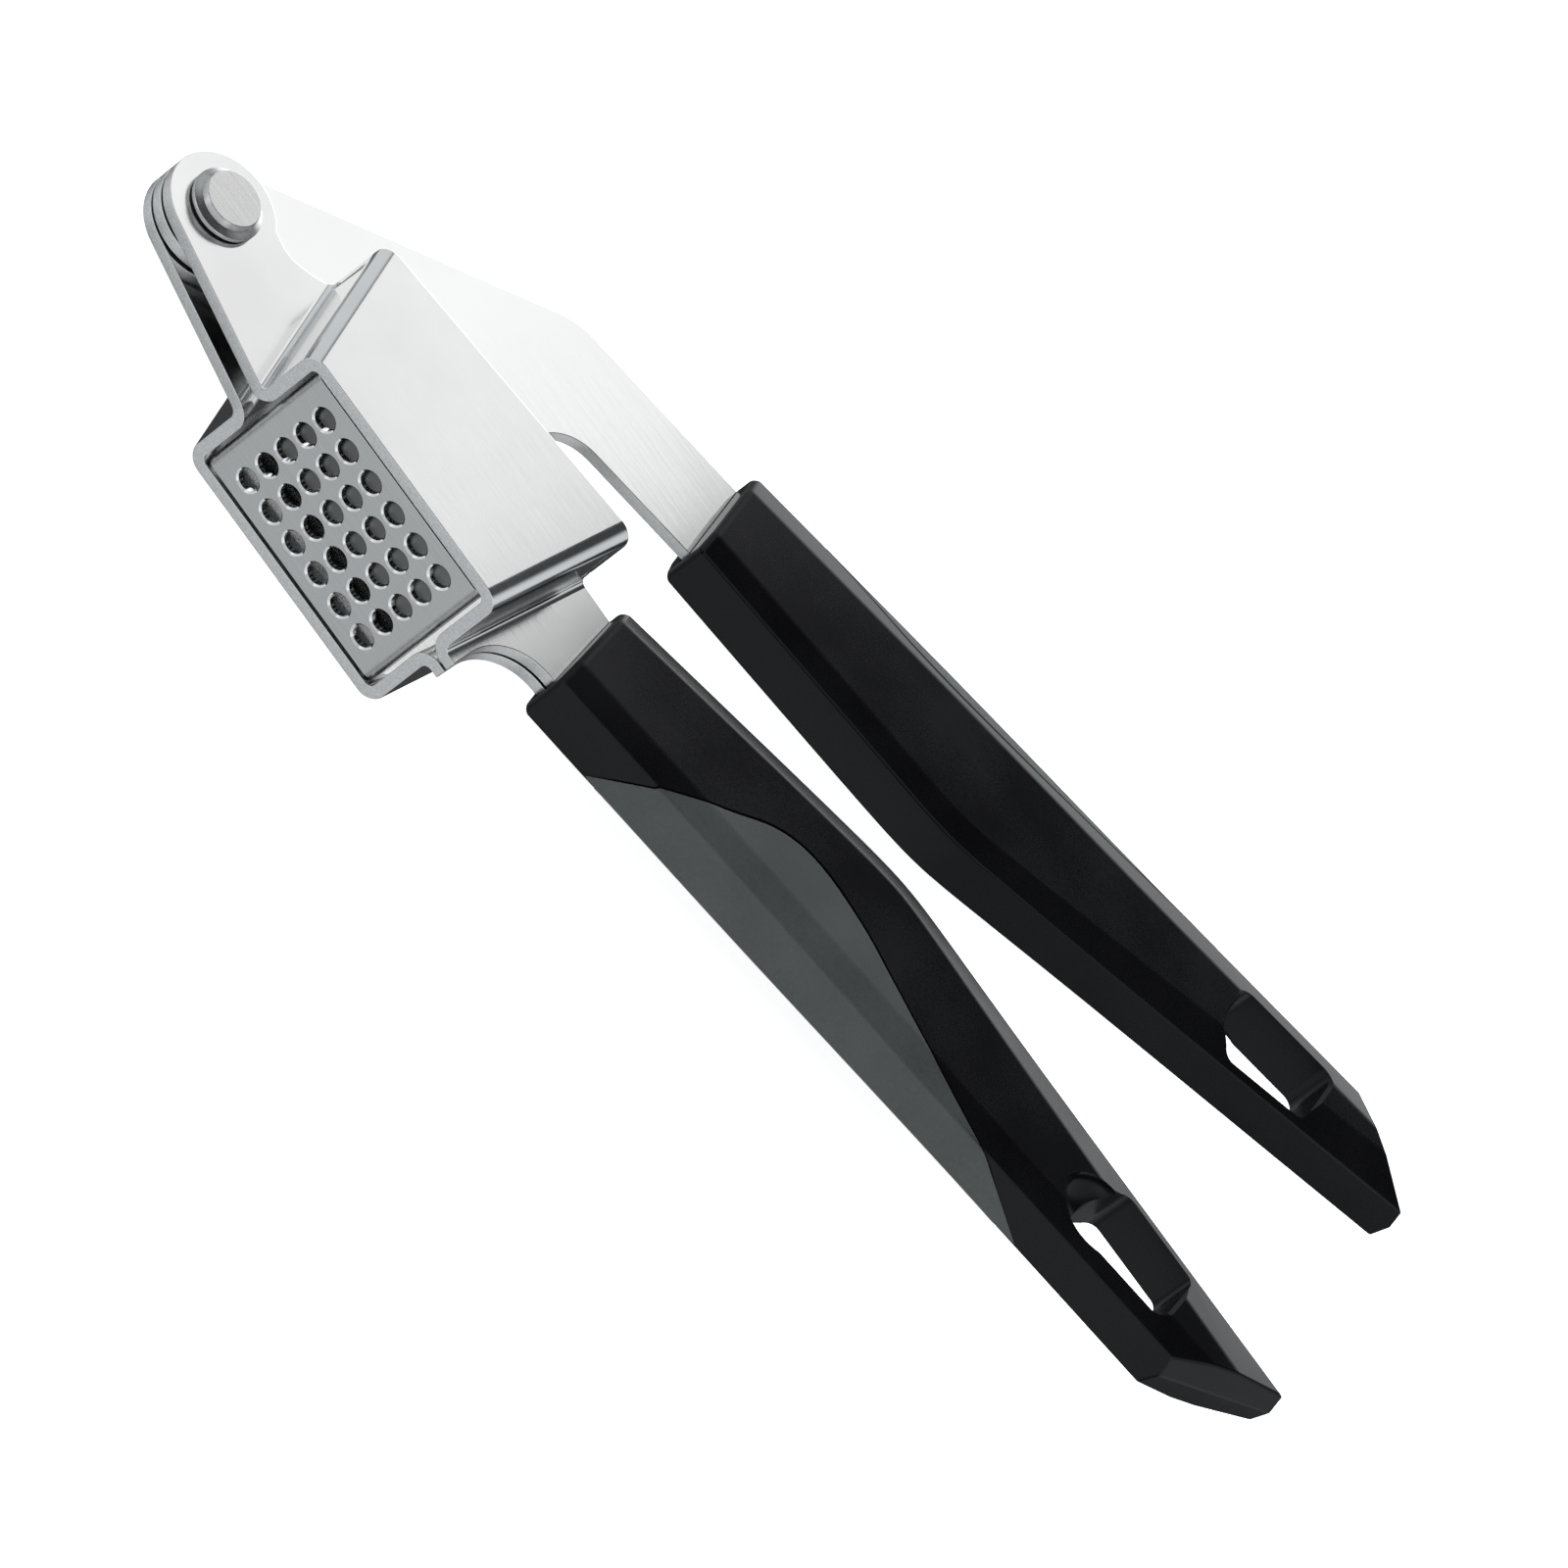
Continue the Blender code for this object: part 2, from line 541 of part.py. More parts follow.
def pad_leaf(height, front, back, low):
    """Leaf outline of a pad in u and v: its climb, its two ends and how far it dips."""
    span = back - front
    shape = ((0.0, 0.0), (0.13, 0.46), (0.24, 0.88), (0.35, 1.0), (0.5, 0.86), (0.63, 0.62), (0.8, 0.3), (1.0, 0.0))
    crest = smooth_line([(front + along * span, up * height) for along, up in shape], 2)
    return [(front - 0.1 * height, low)] + crest + [(back + 0.2 * height, low)]


def pad_region(name, grow):
    """Cutter for a pad: a tall leaf on one side that thins to a strip on the other."""
    tall = pad_leaf(PAD_PEAK + grow, PAD_LEAF[0] - grow, PAD_LEAF[1] + grow, -CUT)
    thin = pad_leaf(PAD_BACK + grow, PAD_STRIP[0] - grow, PAD_STRIP[1] + grow, -CUT)
    edge = HALF_TAIL - OUTER_CHAMFER[1]
    rings = [[(u, v, z) for u, v in leaf]
             for leaf, z in ((thin, -CUT), (thin, -edge), (tall, edge), (tall, CUT))]
    built = loft(rings)
    bmesh.ops.triangulate(built, faces=list(built.faces), quad_method="FIXED")
    return as_cutter(add_object(name, built))


def slot_outline():
    """The hanging slot in u and v."""
    start, end = SLOT
    low = SLOT_FLOOR
    top_start = handle_height(start + SLOT_SLANT[0]) - SLOT_WALL
    top_end = handle_height(end) - SLOT_WALL
    corners = [(start, low), (end, low), (end, top_end), (start + SLOT_SLANT[0], top_start),
               (start, top_start - SLOT_SLANT[1])]
    ring = []
    for i, corner in enumerate(corners):
        ring += rounded([corners[i - 1], corner, corners[(i + 1) % 5]], (SLOT_RADII[i],), 3)[1:-1]
    return ring


def plate_pocket(name, low, high, half):
    """Room for a steel plate inside a handle."""
    room = 1.2 * GAP
    return as_cutter(add_object(name, prism(tail_profile(low, high, room), -half - room, half + room)))


def place_handle(item, at, turn, turned_over):
    """Move a handle's own frame on to the press."""
    flip = Matrix.Rotation(math.pi, 4, "X") if turned_over else Matrix.Identity(4)
    item.matrix_world = Matrix.Translation((*at, 0.0)) @ Matrix.Rotation(turn, 4, "Z") @ flip


def build_handle(prefix, at, turn, turned_over, scale, plate_half, plate_low, plastic, rubber):
    """One handle moulding and its soft pad."""
    body = add_object(prefix + "_handle", handle_mesh(), plastic)
    pad = add_object(prefix + "_grip_pad", handle_mesh(), rubber)
    pad_room = pad_region(prefix + "_pad_room", GAP)
    core = as_cutter(add_object(prefix + "_core", handle_mesh(PAD_DEPTH + GAP)))
    apply_boolean(pad_room, core)
    apply_boolean(body, pad_room)
    apply_boolean(pad, pad_region(prefix + "_pad_shape", 0.0), "INTERSECT")
    apply_boolean(pad, as_cutter(add_object(prefix + "_pad_core", handle_mesh(PAD_DEPTH))))
    slot = as_cutter(add_object(prefix + "_slot", prism(slot_outline(), -CUT, CUT)))
    apply_boolean(body, slot)
    pocket = plate_pocket(prefix + "_pocket", plate_low, plate_low + PLATE_WIDTH, plate_half / scale)
    apply_boolean(body, pocket)
    guides = [slot, pocket, pad_room, core]
    guides += [modifier.object for modifier in pad.modifiers]
    for item in [body, pad] + guides:
        item.data.transform(Matrix.Scale(scale, 4))
        place_handle(item, at, turn, turned_over)
    return body, pad


# ---------------------------------------------------------------- assembly
def add_empty(name, place):
    """An empty that carries the pieces of one moving body."""
    empty = bpy.data.objects.new(name, None)
    bpy.context.collection.objects.link(empty)
    empty.location = place
    return empty


def carry(empty, items):
    """Parent pieces to an empty without moving them."""
    bpy.context.view_layer.update()
    for item in items:
        world = item.matrix_world.copy()
        item.parent = empty
        item.matrix_parent_inverse = empty.matrix_world.inverted()
        item.matrix_world = world


def guides_of(items):
    """Every Boolean guide that the pieces use."""
    found = []
    for item in items:
        for modifier in item.modifiers:
            if modifier.object not in found:
                found.append(modifier.object)
                found += [guide for guide in guides_of([modifier.object]) if guide not in found]
    return found


def world_box(items):
    """Lowest and highest corner of the evaluated pieces."""
    bpy.context.view_layer.update()
    graph = bpy.context.evaluated_depsgraph_get()
    points = []
    for item in items:
        shown = item.evaluated_get(graph)
        points += [shown.matrix_world @ vertex.co for vertex in shown.data.vertices]
    low = Vector([min(point[i] for point in points) for i in range(3)])
    high = Vector([max(point[i] for point in points) for i in range(3)])
    return low, high


def main():
    """Build the press and stand its lowest point on z = 0."""
    clear_scene()
    steel = make_material("polished_steel", (0.78, 0.78, 0.77), 0.16, 1.0)
    brushed = make_material("brushed_steel", (0.62, 0.63, 0.63), 0.34, 1.0)
    plastic = make_material("black_plastic", (0.012, 0.012, 0.014), 0.32, 0.0)
    rubber = make_material("grey_rubber", (0.062, 0.072, 0.070), 0.62, 0.0)
    pin_at = pin_position()
    fixed = [build_frame_plate("frame_plate_near", 1, steel), build_frame_plate("frame_plate_far", -1, steel)]
    fixed += [build_sieve(brushed), build_rivet(brushed)]
    fixed += build_handle("lower", LOWER_AT, LOWER_TURN, False, 1.0, TANG_OUT, TANG_MARGIN, plastic, rubber)
    lever = [build_arm(pin_at, steel)]
    lever += build_handle("upper", UPPER_AT, UPPER_TURN, True, UPPER_SCALE, ARM_SHEET / 2, ARM_MARGIN,
                          plastic, rubber)
    plunger = [build_pressing_plate(steel), build_bracket(steel), build_pin((0, 0, 0), brushed)]
    for item in plunger + guides_of(plunger):
        item.location = pin_at
    root = add_empty("press", (0, 0, 0))
    lever_axis = add_empty("lever_axis", PIVOT)
    plunger_axis = add_empty("plunger_axis", pin_at)
    carry(plunger_axis, plunger + guides_of(plunger))
    carry(lever_axis, lever + guides_of(lever) + [plunger_axis])
    carry(root, fixed + guides_of(fixed) + [lever_axis])
    low, high = world_box(fixed + lever + plunger)
    root.location = (-(low.x + high.x) / 2, -(low.y + high.y) / 2, -low.z)
    for item in fixed + lever + plunger:
        item.data.shade_smooth()
        item.data.set_sharp_from_angle(angle=math.radians(30))


main()
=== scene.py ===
# %% [markdown]
# # A garlic press, finished for a product picture
# The press arrives as a plain working model: twelve solids that already have the right size, the right
# place and the right joints. This lesson leaves all of that alone. Piece by piece it builds a finer mesh on
# top of each solid, with rolled edges, a drawn sieve, a moulded handle and a soft pad, and gives every one
# a material made from nodes. Sizes are in millimetres around the pivot, because that is how such a tool is
# drawn: x runs to the handle ends, y is the way the press opens, z is along the rivet.

# %% Load the working model and find the pivot
import math

import bmesh
import bpy
from mathutils import Matrix, Vector


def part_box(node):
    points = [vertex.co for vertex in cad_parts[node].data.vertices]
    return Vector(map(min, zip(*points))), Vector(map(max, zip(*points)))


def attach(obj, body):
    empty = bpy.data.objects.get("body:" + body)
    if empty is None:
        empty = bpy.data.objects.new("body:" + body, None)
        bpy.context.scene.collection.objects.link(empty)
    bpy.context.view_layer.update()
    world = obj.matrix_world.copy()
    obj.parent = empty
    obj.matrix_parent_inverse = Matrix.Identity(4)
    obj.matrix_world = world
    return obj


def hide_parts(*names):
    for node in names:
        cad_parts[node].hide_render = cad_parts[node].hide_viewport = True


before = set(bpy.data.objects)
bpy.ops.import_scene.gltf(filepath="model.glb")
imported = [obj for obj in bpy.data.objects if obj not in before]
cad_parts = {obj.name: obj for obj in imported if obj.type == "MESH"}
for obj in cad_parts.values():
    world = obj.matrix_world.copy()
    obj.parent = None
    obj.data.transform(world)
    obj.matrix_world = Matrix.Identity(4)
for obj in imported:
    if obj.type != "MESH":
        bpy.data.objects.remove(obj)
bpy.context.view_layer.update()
rivet_low, rivet_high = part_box("pivot_rivet")
PIVOT = (rivet_low + rivet_high) / 2
MM = 0.001
TO_WORLD = Matrix.Translation(PIVOT) @ Matrix.Scale(MM, 4)

# %% [markdown]
# ## The camera and the light come first
# Shiny metal has almost no colour of its own. It shows its surroundings, so the lights are part of the
# material, and they are set before any piece is made. The press lies on its side on a pale table. A long
# lens far away keeps the two handles nearly parallel, as a tool in a catalogue is shown. The camera is
# rolled, so that the handles run down across the picture.

# %% Camera
VIEW_RIGHT = Vector((0.5904, 0.5615, 0.5800)).normalized()
VIEW_BACK = Vector((0.0125, -0.7249, 0.6890))
VIEW_BACK = (VIEW_BACK - VIEW_RIGHT * VIEW_BACK.dot(VIEW_RIGHT)).normalized()
VIEW_UP = VIEW_BACK.cross(VIEW_RIGHT)
VIEW_WIDTH = 169.5 * MM
AIM = PIVOT + (VIEW_RIGHT * 62.07 - VIEW_UP * 61.08) * MM

camera_data = bpy.data.cameras.new("studio_camera")
camera_data.sensor_width = 36.0
camera_data.lens = 480.0
camera = bpy.data.objects.new("studio_camera", camera_data)
bpy.context.scene.collection.objects.link(camera)
reach = VIEW_WIDTH / camera_data.sensor_width * camera_data.lens
place = Matrix((VIEW_RIGHT, VIEW_UP, VIEW_BACK)).transposed().to_4x4()
place.translation = AIM + VIEW_BACK * reach
camera.matrix_world = place
camera_data.clip_start = 0.01
camera_data.clip_end = 20.0
bpy.context.scene.camera = camera
bpy.context.scene.view_settings.view_transform = "Standard"
print("camera", round(reach, 2), "m away")

# %% [markdown]
# A big soft lamp overhead and a glowing table top make the ground white. Neither is seen in mirror
# reflections, so what the steel mirrors is set on its own: a sky that glows behind the press, where the
# bevels of the handles look, glows less in front of it and at its two ends, and stays dim elsewhere. One
# white card is placed where the flat steel mirrors it. It stops short of the handles, so that their flat
# faces, in the same plane, stay black.

# %% Table and lamps
FLOOR_HALF = 6.0
TABLE_GLOW = 0.8


def pale_floor():
    """A big flat light table under the press."""
    mesh = bpy.data.meshes.new("studio_floor")
    corners = [(x * FLOOR_HALF, y * FLOOR_HALF, 0) for x, y in ((-1, -1), (1, -1), (1, 1), (-1, 1))]
    mesh.from_pydata(corners, [], [(0, 1, 2, 3)])
    floor = bpy.data.objects.new("studio_floor", mesh)
    bpy.context.scene.collection.objects.link(floor)
    paint = bpy.data.materials.new("pale_table")
    paint.use_nodes = True
    shader = paint.node_tree.nodes["Principled BSDF"]
    shader.inputs["Base Color"].default_value = (0.93, 0.93, 0.93, 1)
    shader.inputs["Roughness"].default_value = 0.9
    shader.inputs["Specular IOR Level"].default_value = 0.0
    shader.inputs["Emission Color"].default_value = (1, 1, 1, 1)
    shader.inputs["Emission Strength"].default_value = TABLE_GLOW
    mesh.materials.append(paint)
    floor.visible_glossy = False


def soft_box(name, target, direction, distance, size, radiance, mirrored=True):
    """An area light at a distance from target, facing it, as bright as a white card of that radiance."""
    light = bpy.data.lights.new(name, "AREA")
    light.shape = "RECTANGLE"
    light.size, light.size_y = size
    light.energy = radiance * math.pi * size[0] * size[1]
    box = bpy.data.objects.new(name, light)
    way = Vector(direction).normalized()
    box.location = Vector(target) + way * distance
    box.rotation_mode = "QUATERNION"
    box.rotation_quaternion = way.to_track_quat("Z", "Y")
    box.visible_glossy = mirrored
    bpy.context.scene.collection.objects.link(box)


# %% Sky that glows behind, in front and at both ends
SKY_DIM = 0.05
BACK_GLOW = (0.80, 0.97, 2.4)
FRONT_GLOW = (-0.35, -0.80, 0.72)
SIDE_GLOW = (0.50, 0.72, 0.7)


def glow(tree, height, start, full, amount):
    """A soft step along one direction of the sky, from nothing at start to an amount at full."""
    step = tree.nodes.new("ShaderNodeMapRange")
    step.interpolation_type = "SMOOTHSTEP"
    step.inputs["From Min"].default_value = start
    step.inputs["From Max"].default_value = full
    step.inputs["To Max"].default_value = amount
    tree.links.new(height, step.inputs["Value"])
    return step.outputs["Result"]


def plus(tree, value, more):
    """Add another glow, or a plain number, to a value of the sky."""
    total = tree.nodes.new("ShaderNodeMath")
    total.operation = "ADD"
    tree.links.new(value, total.inputs[0])
    if isinstance(more, float):
        total.inputs[1].default_value = more
    else:
        tree.links.new(more, total.inputs[1])
    return total.outputs["Value"]


def studio_sky():
    """Dim surroundings that glow behind the press, and less in front of it and at its ends."""
    world = bpy.data.worlds.new("studio_sky")
    bpy.context.scene.world = world
    world.use_nodes = True
    tree = world.node_tree
    background = tree.nodes["Background"]
    background.inputs["Color"].default_value = (0.93, 0.97, 1.0, 1.0)
    where = tree.nodes.new("ShaderNodeTexCoord")
    parts = tree.nodes.new("ShaderNodeSeparateXYZ")
    tree.links.new(where.outputs["Generated"], parts.inputs["Vector"])
    sideways = tree.nodes.new("ShaderNodeMath")
    sideways.operation = "ABSOLUTE"
    tree.links.new(parts.outputs["X"], sideways.inputs[0])
    total = glow(tree, parts.outputs["Y"], *BACK_GLOW)
    beside = glow(tree, sideways.outputs["Value"], *SIDE_GLOW)
    in_front = glow(tree, parts.outputs["Y"], *FRONT_GLOW)
    for more in (beside, in_front, SKY_DIM):
        total = plus(tree, total, more)
    tree.links.new(total, background.inputs["Strength"])


# %% Put the light in place
CARD_EDGE = 55.0
CARD_SIZE = (0.26, 0.34)
CARD_AWAY = 0.35
CARD_GLOW = 1.0
LAMP_WAY = (0.1, -0.1, 1.0)
LAMP_AWAY = 2.4
LAMP_SIZE = (2.4, 2.4)
LAMP_GLOW = 3.6

pale_floor()
studio_sky()
mirror_way = 2 * VIEW_BACK.z * Vector((0, 0, 1)) - VIEW_BACK
card_aim = PIVOT + Vector((CARD_EDGE * MM - CARD_SIZE[0] / 2, 20.0 * MM, 0))
soft_box("steel_card", card_aim, mirror_way, CARD_AWAY, CARD_SIZE, CARD_GLOW)
soft_box("table_lamp", (0.0, 0.0, 0.0), LAMP_WAY, LAMP_AWAY, LAMP_SIZE, LAMP_GLOW, mirrored=False)
print("light: a table, a sky, a card", CARD_AWAY, "m and a lamp", LAMP_AWAY, "m away")

# %% [markdown]
# ## Helpers for metal work
# Pressed steel, moulded plastic and turned rivets are all outlines that were swept, folded or spun. A few
# small helpers are enough: one skins rings into a solid, one rounds corners, and one cuts a solid with
# another and keeps the result as plain mesh, so that nothing unfinished is left behind the piece.

# %% Rings, arcs and rounded lines
def loft(rings, side_paint=0, cap_paint=0):
    """Skin a list of rings with the same number of points, and close both ends."""
    built = bmesh.new()
    loops = [[built.verts.new(point) for point in ring] for ring in rings]
    for first, second in zip(loops, loops[1:]):
        for i in range(len(first)):
            j = (i + 1) % len(first)
            built.faces.new((first[i], first[j], second[j], second[i])).material_index = side_paint
    for end in (loops[0], loops[-1]):
        built.faces.new(end).material_index = cap_paint
    return built


def prism(outline, low, high, side_paint=0, cap_paint=0):
    """Extrude an outline in x and y from z low to z high."""
    return loft([[(x, y, z) for x, y in outline] for z in (low, high)], side_paint, cap_paint)


def arc(centre, radius, start, end, steps):
    """Points on an arc from start to end, angles in degrees."""
    angles = [math.radians(start + (end - start) * i / steps) for i in range(steps + 1)]
    return [(centre[0] + radius * math.cos(a), centre[1] + radius * math.sin(a)) for a in angles]


def rounded(points, radii, steps):
    """An open line through points, with each inner corner rounded to its radius."""
    line = [points[0]]
    for before, corner, after, radius in zip(points, points[1:], points[2:], radii):
        here = Vector(corner)
        back = (Vector(before) - here).normalized()
        ahead = (Vector(after) - here).normalized()
        half = math.acos(max(-1.0, min(1.0, back.dot(ahead)))) / 2
        centre = here + (back + ahead).normalized() * (radius / math.sin(half))
        first = here + back * (radius / math.tan(half)) - centre
        turn = first.angle_signed(here + ahead * (radius / math.tan(half)) - centre)
        line += [tuple(centre + Matrix.Rotation(-turn * i / steps, 2) @ first) for i in range(steps + 1)]
    line.append(points[-1])
    return line


def rounded_loop(corners, radii, steps):
    """A closed outline with every corner rounded."""
    ring = []
    for i, corner in enumerate(corners):
        after = corners[(i + 1) % len(corners)]
        ring += rounded([corners[i - 1], corner, after], (radii[i],), steps)[1:-1]
    return ring


def offset_line(points, distance):
    """Shift an open line of straight runs to its right, with mitred corners."""
    ahead = [(Vector(b) - Vector(a)).normalized() for a, b in zip(points, points[1:])]
    sides = [Vector((run.y, -run.x)) for run in ahead]
    moved = [Vector(points[0]) + sides[0] * distance]
    for corner, one, two in zip(points[1:], sides, sides[1:]):
        mitre = (one + two).normalized()
        moved.append(Vector(corner) + mitre * (distance / mitre.dot(one)))
    moved.append(Vector(points[-1]) + sides[-1] * distance)
    return [tuple(point) for point in moved]


def smooth_line(points, steps):
    """A Catmull-Rom line through points."""
    ends = [points[0]] + list(points) + [points[-1]]
    line = []
    for a, b, c, d in zip(ends, ends[1:], ends[2:], ends[3:]):
        for t in [i / steps for i in range(steps)]:
            line.append(tuple(
                0.5 * (2 * q + (r - p) * t + (2 * p - 5 * q + 4 * r - s) * t * t
                       + (3 * q - p - 3 * r + s) * t ** 3)
                for p, q, r, s in zip(a, b, c, d)))
    line.append(points[-1])
    return line


# %% Making, cutting and finishing a piece
def add_piece(name, built, paints):
    """Link one object made from a bmesh, with its normals facing out."""
    bmesh.ops.remove_doubles(built, verts=built.verts, dist=1e-4)
    bmesh.ops.recalc_face_normals(built, faces=built.faces)
    mesh = bpy.data.meshes.new(name)
    built.to_mesh(mesh)
    built.free()
    item = bpy.data.objects.new(name, mesh)
    bpy.context.scene.collection.objects.link(item)
    for paint in paints:
        mesh.materials.append(paint)
    return item


def settle(item):
    """Turn a piece's modifiers into plain mesh."""
    graph = bpy.context.evaluated_depsgraph_get()
    done = bpy.data.meshes.new_from_object(item.evaluated_get(graph), depsgraph=graph)
    item.modifiers.clear()
    item.data = done
    return item


def shape_with(item, operation, *tools):
    """Cut, join or trim a piece with other solids, which are then thrown away."""
    for tool in tools:
        step = item.modifiers.new("shape", "BOOLEAN")
        step.operation = operation
        step.solver = "EXACT"
        step.material_mode = "TRANSFER"
        step.object = tool
        settle(item)
        bpy.data.objects.remove(tool, do_unlink=True)
    return item


def roll_edges(item, width, angle=40, segments=2, clamp=True):
    """Take the sharpness off every edge steeper than an angle."""
    step = item.modifiers.new("rolled_edges", "BEVEL")
    step.width = width
    step.segments = segments
    step.limit_method = "ANGLE"
    step.angle_limit = math.radians(angle)
    step.use_clamp_overlap = clamp
    step.miter_outer = "MITER_ARC" if clamp else "MITER_SHARP"
    return settle(item)


def hand_over(item, node, body, to_world=TO_WORLD):
    """Move a finished piece on to the press, shade it, and let it ride in place of its solid."""
    item.data.transform(to_world)
    item.data.shade_smooth()
    item.data.set_sharp_from_angle(angle=math.radians(32))
    weights = item.modifiers.new("even_shading", "WEIGHTED_NORMAL")
    weights.keep_sharp = True
    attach(item, body)
    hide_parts(node)
    print(f"{item.name}: {len(item.data.vertices)} points, rides on {body}")


# %% [markdown]
# ## Surface effects that several finishes share
# Three small node groups make masks that the finishes then use in their own way. **Fine grain** is the
# speckle of a moulded or tumbled surface. **Drawn lines** is noise stretched along one direction, as left by
# a polishing belt. **Handling** is a large soft cloud, like the haze that fingers leave. They are measured
# in the object's own metres, so their scale is real: 4000 per metre is a quarter of a millimetre.

# %% Node group helpers
def new_group(name, inputs, outputs):
    """An empty shader node group with named number inputs and outputs."""
    group = bpy.data.node_groups.new(name, "ShaderNodeTree")
    for label, value in inputs:
        socket = group.interface.new_socket(name=label, in_out="INPUT", socket_type="NodeSocketFloat")
        socket.default_value = value
    for label in outputs:
        group.interface.new_socket(name=label, in_out="OUTPUT", socket_type="NodeSocketFloat")
    entry = group.nodes.new("NodeGroupInput")
    leave = group.nodes.new("NodeGroupOutput")
    return group, entry, leave


def mapped_noise(group, entry, stretch, detail):
    """Noise in object space, scaled by the group's Scale input and stretched along an axis."""
    where = group.nodes.new("ShaderNodeTexCoord")
    mapping = group.nodes.new("ShaderNodeMapping")
    mapping.inputs["Scale"].default_value = stretch
    noise = group.nodes.new("ShaderNodeTexNoise")
    noise.inputs["Detail"].default_value = detail
    group.links.new(where.outputs["Object"], mapping.inputs["Vector"])
    group.links.new(mapping.outputs["Vector"], noise.inputs["Vector"])
    group.links.new(entry.outputs["Scale"], noise.inputs["Scale"])
    return noise


def contrast(group, source, low, high):
    """Stretch a 0 to 1 value so that low becomes 0 and high becomes 1."""
    span = group.nodes.new("ShaderNodeMapRange")
    span.inputs["From Min"].default_value = low
    span.inputs["From Max"].default_value = high
    group.links.new(source, span.inputs["Value"])
    return span.outputs["Result"]


# %% The three effects
def make_fine_grain():
    """Speckle: Mask is 0 to 1."""
    group, entry, leave = new_group("fine grain", [("Scale", 4000.0)], ["Mask"])
    noise = mapped_noise(group, entry, (1, 1, 1), 3.0)
    group.links.new(contrast(group, noise.outputs["Fac"], 0.32, 0.68), leave.inputs["Mask"])
    return group


def make_drawn_lines():
    """Fine lines along x: Mask is 0 to 1."""
    group, entry, leave = new_group("drawn lines", [("Scale", 6000.0)], ["Mask"])
    noise = mapped_noise(group, entry, (0.03, 1, 1), 2.0)
    group.links.new(contrast(group, noise.outputs["Fac"], 0.35, 0.65), leave.inputs["Mask"])
    return group


def make_handling():
    """Large soft clouds: Mask is 0 to 1."""
    group, entry, leave = new_group("handling", [("Scale", 60.0)], ["Mask"])
    noise = mapped_noise(group, entry, (1, 1, 1), 4.0)
    group.links.new(contrast(group, noise.outputs["Fac"], 0.35, 0.7), leave.inputs["Mask"])
    return group


FINE_GRAIN = make_fine_grain()
DRAWN_LINES = make_drawn_lines()
HANDLING = make_handling()
print("effects:", [group.name for group in (FINE_GRAIN, DRAWN_LINES, HANDLING)])


# %% Wiring an effect into a finish
def start_finish(name, metallic, specular=0.5):
    """A material with a Principled shader."""
    finish = bpy.data.materials.new(name)
    finish.use_nodes = True
    shader = finish.node_tree.nodes["Principled BSDF"]
    shader.inputs["Metallic"].default_value = metallic
    shader.inputs["Specular IOR Level"].default_value = specular
    return finish, shader


def effect(finish, group, scale):
    """One shared effect, placed in a finish at its own scale."""
    node = finish.node_tree.nodes.new("ShaderNodeGroup")
    node.node_tree = group
    node.inputs["Scale"].default_value = scale
    return node.outputs["Mask"]


def between(finish, mask, low, high, socket):
    """Let a mask swing a number between two values and feed it to a socket."""
    span = finish.node_tree.nodes.new("ShaderNodeMapRange")
    span.inputs["To Min"].default_value = low
    span.inputs["To Max"].default_value = high
    finish.node_tree.links.new(mask, span.inputs["Value"])
    finish.node_tree.links.new(span.outputs["Result"], socket)


def tint(finish, mask, dark, light, socket):
    """Let a mask swing a colour between two values and feed it to a socket."""
    mix = finish.node_tree.nodes.new("ShaderNodeMix")
    mix.data_type = "RGBA"
    mix.inputs["A"].default_value = (*dark, 1.0)
    mix.inputs["B"].default_value = (*light, 1.0)
    finish.node_tree.links.new(mask, mix.inputs["Factor"])
    finish.node_tree.links.new(mix.outputs["Result"], socket)


def add_relief(finish, shader, mask, strength, depth_mm):
    """Raise the surface a little where the mask is bright."""
    bump = finish.node_tree.nodes.new("ShaderNodeBump")
    bump.inputs["Strength"].default_value = strength
    bump.inputs["Distance"].default_value = depth_mm * MM
    finish.node_tree.links.new(mask, bump.inputs["Height"])
    finish.node_tree.links.new(bump.outputs["Normal"], shader.inputs["Normal"])


def blend_masks(finish, first, second, share):
    """A weighted mean of two masks."""
    mix = finish.node_tree.nodes.new("ShaderNodeMix")
    mix.inputs["Factor"].default_value = share
    finish.node_tree.links.new(first, mix.inputs["A"])
    finish.node_tree.links.new(second, mix.inputs["B"])
    return mix.outputs["Result"]


# %% [markdown]
# ## The finishes
# Stainless sheet is polished on its faces, so it gets a low roughness with faint belt lines and a little
# haze. Two copies differ only in colour: the lever arm's is lighter, as painted light, and the plate that
# faces down into the hopper is much darker, as painted shade.
# Where the sheet was blanked out in a press, the cut edge is torn rather than polished: rougher and
# speckled. The rivet, sieve and pin have a satin finish between the two. The handles are black moulded
# plastic with a fine spark texture, and the pads a matte rubber that catches light like soft stone.

# %% Steel finishes
def polished_sheet(name, dark, light):
    """The faces of the folded and blanked steel."""
    finish, shader = start_finish(name, 1.0)
    haze = effect(finish, HANDLING, 45.0)
    lines = effect(finish, DRAWN_LINES, 5200.0)
    tint(finish, haze, (dark, dark, dark), (light, light, light), shader.inputs["Base Color"])
    between(finish, blend_masks(finish, haze, lines, 0.4), 0.11, 0.21, shader.inputs["Roughness"])
    add_relief(finish, shader, lines, 0.12, 0.004)
    return finish


def blanked_edge():
    """The cut edges of the steel sheet."""
    finish, shader = start_finish("blanked_edge", 1.0)
    speckle = effect(finish, FINE_GRAIN, 5200.0)
    tint(finish, speckle, (0.66, 0.66, 0.66), (0.88, 0.88, 0.87), shader.inputs["Base Color"])
    between(finish, speckle, 0.30, 0.48, shader.inputs["Roughness"])
    add_relief(finish, shader, speckle, 0.5, 0.02)
    return finish


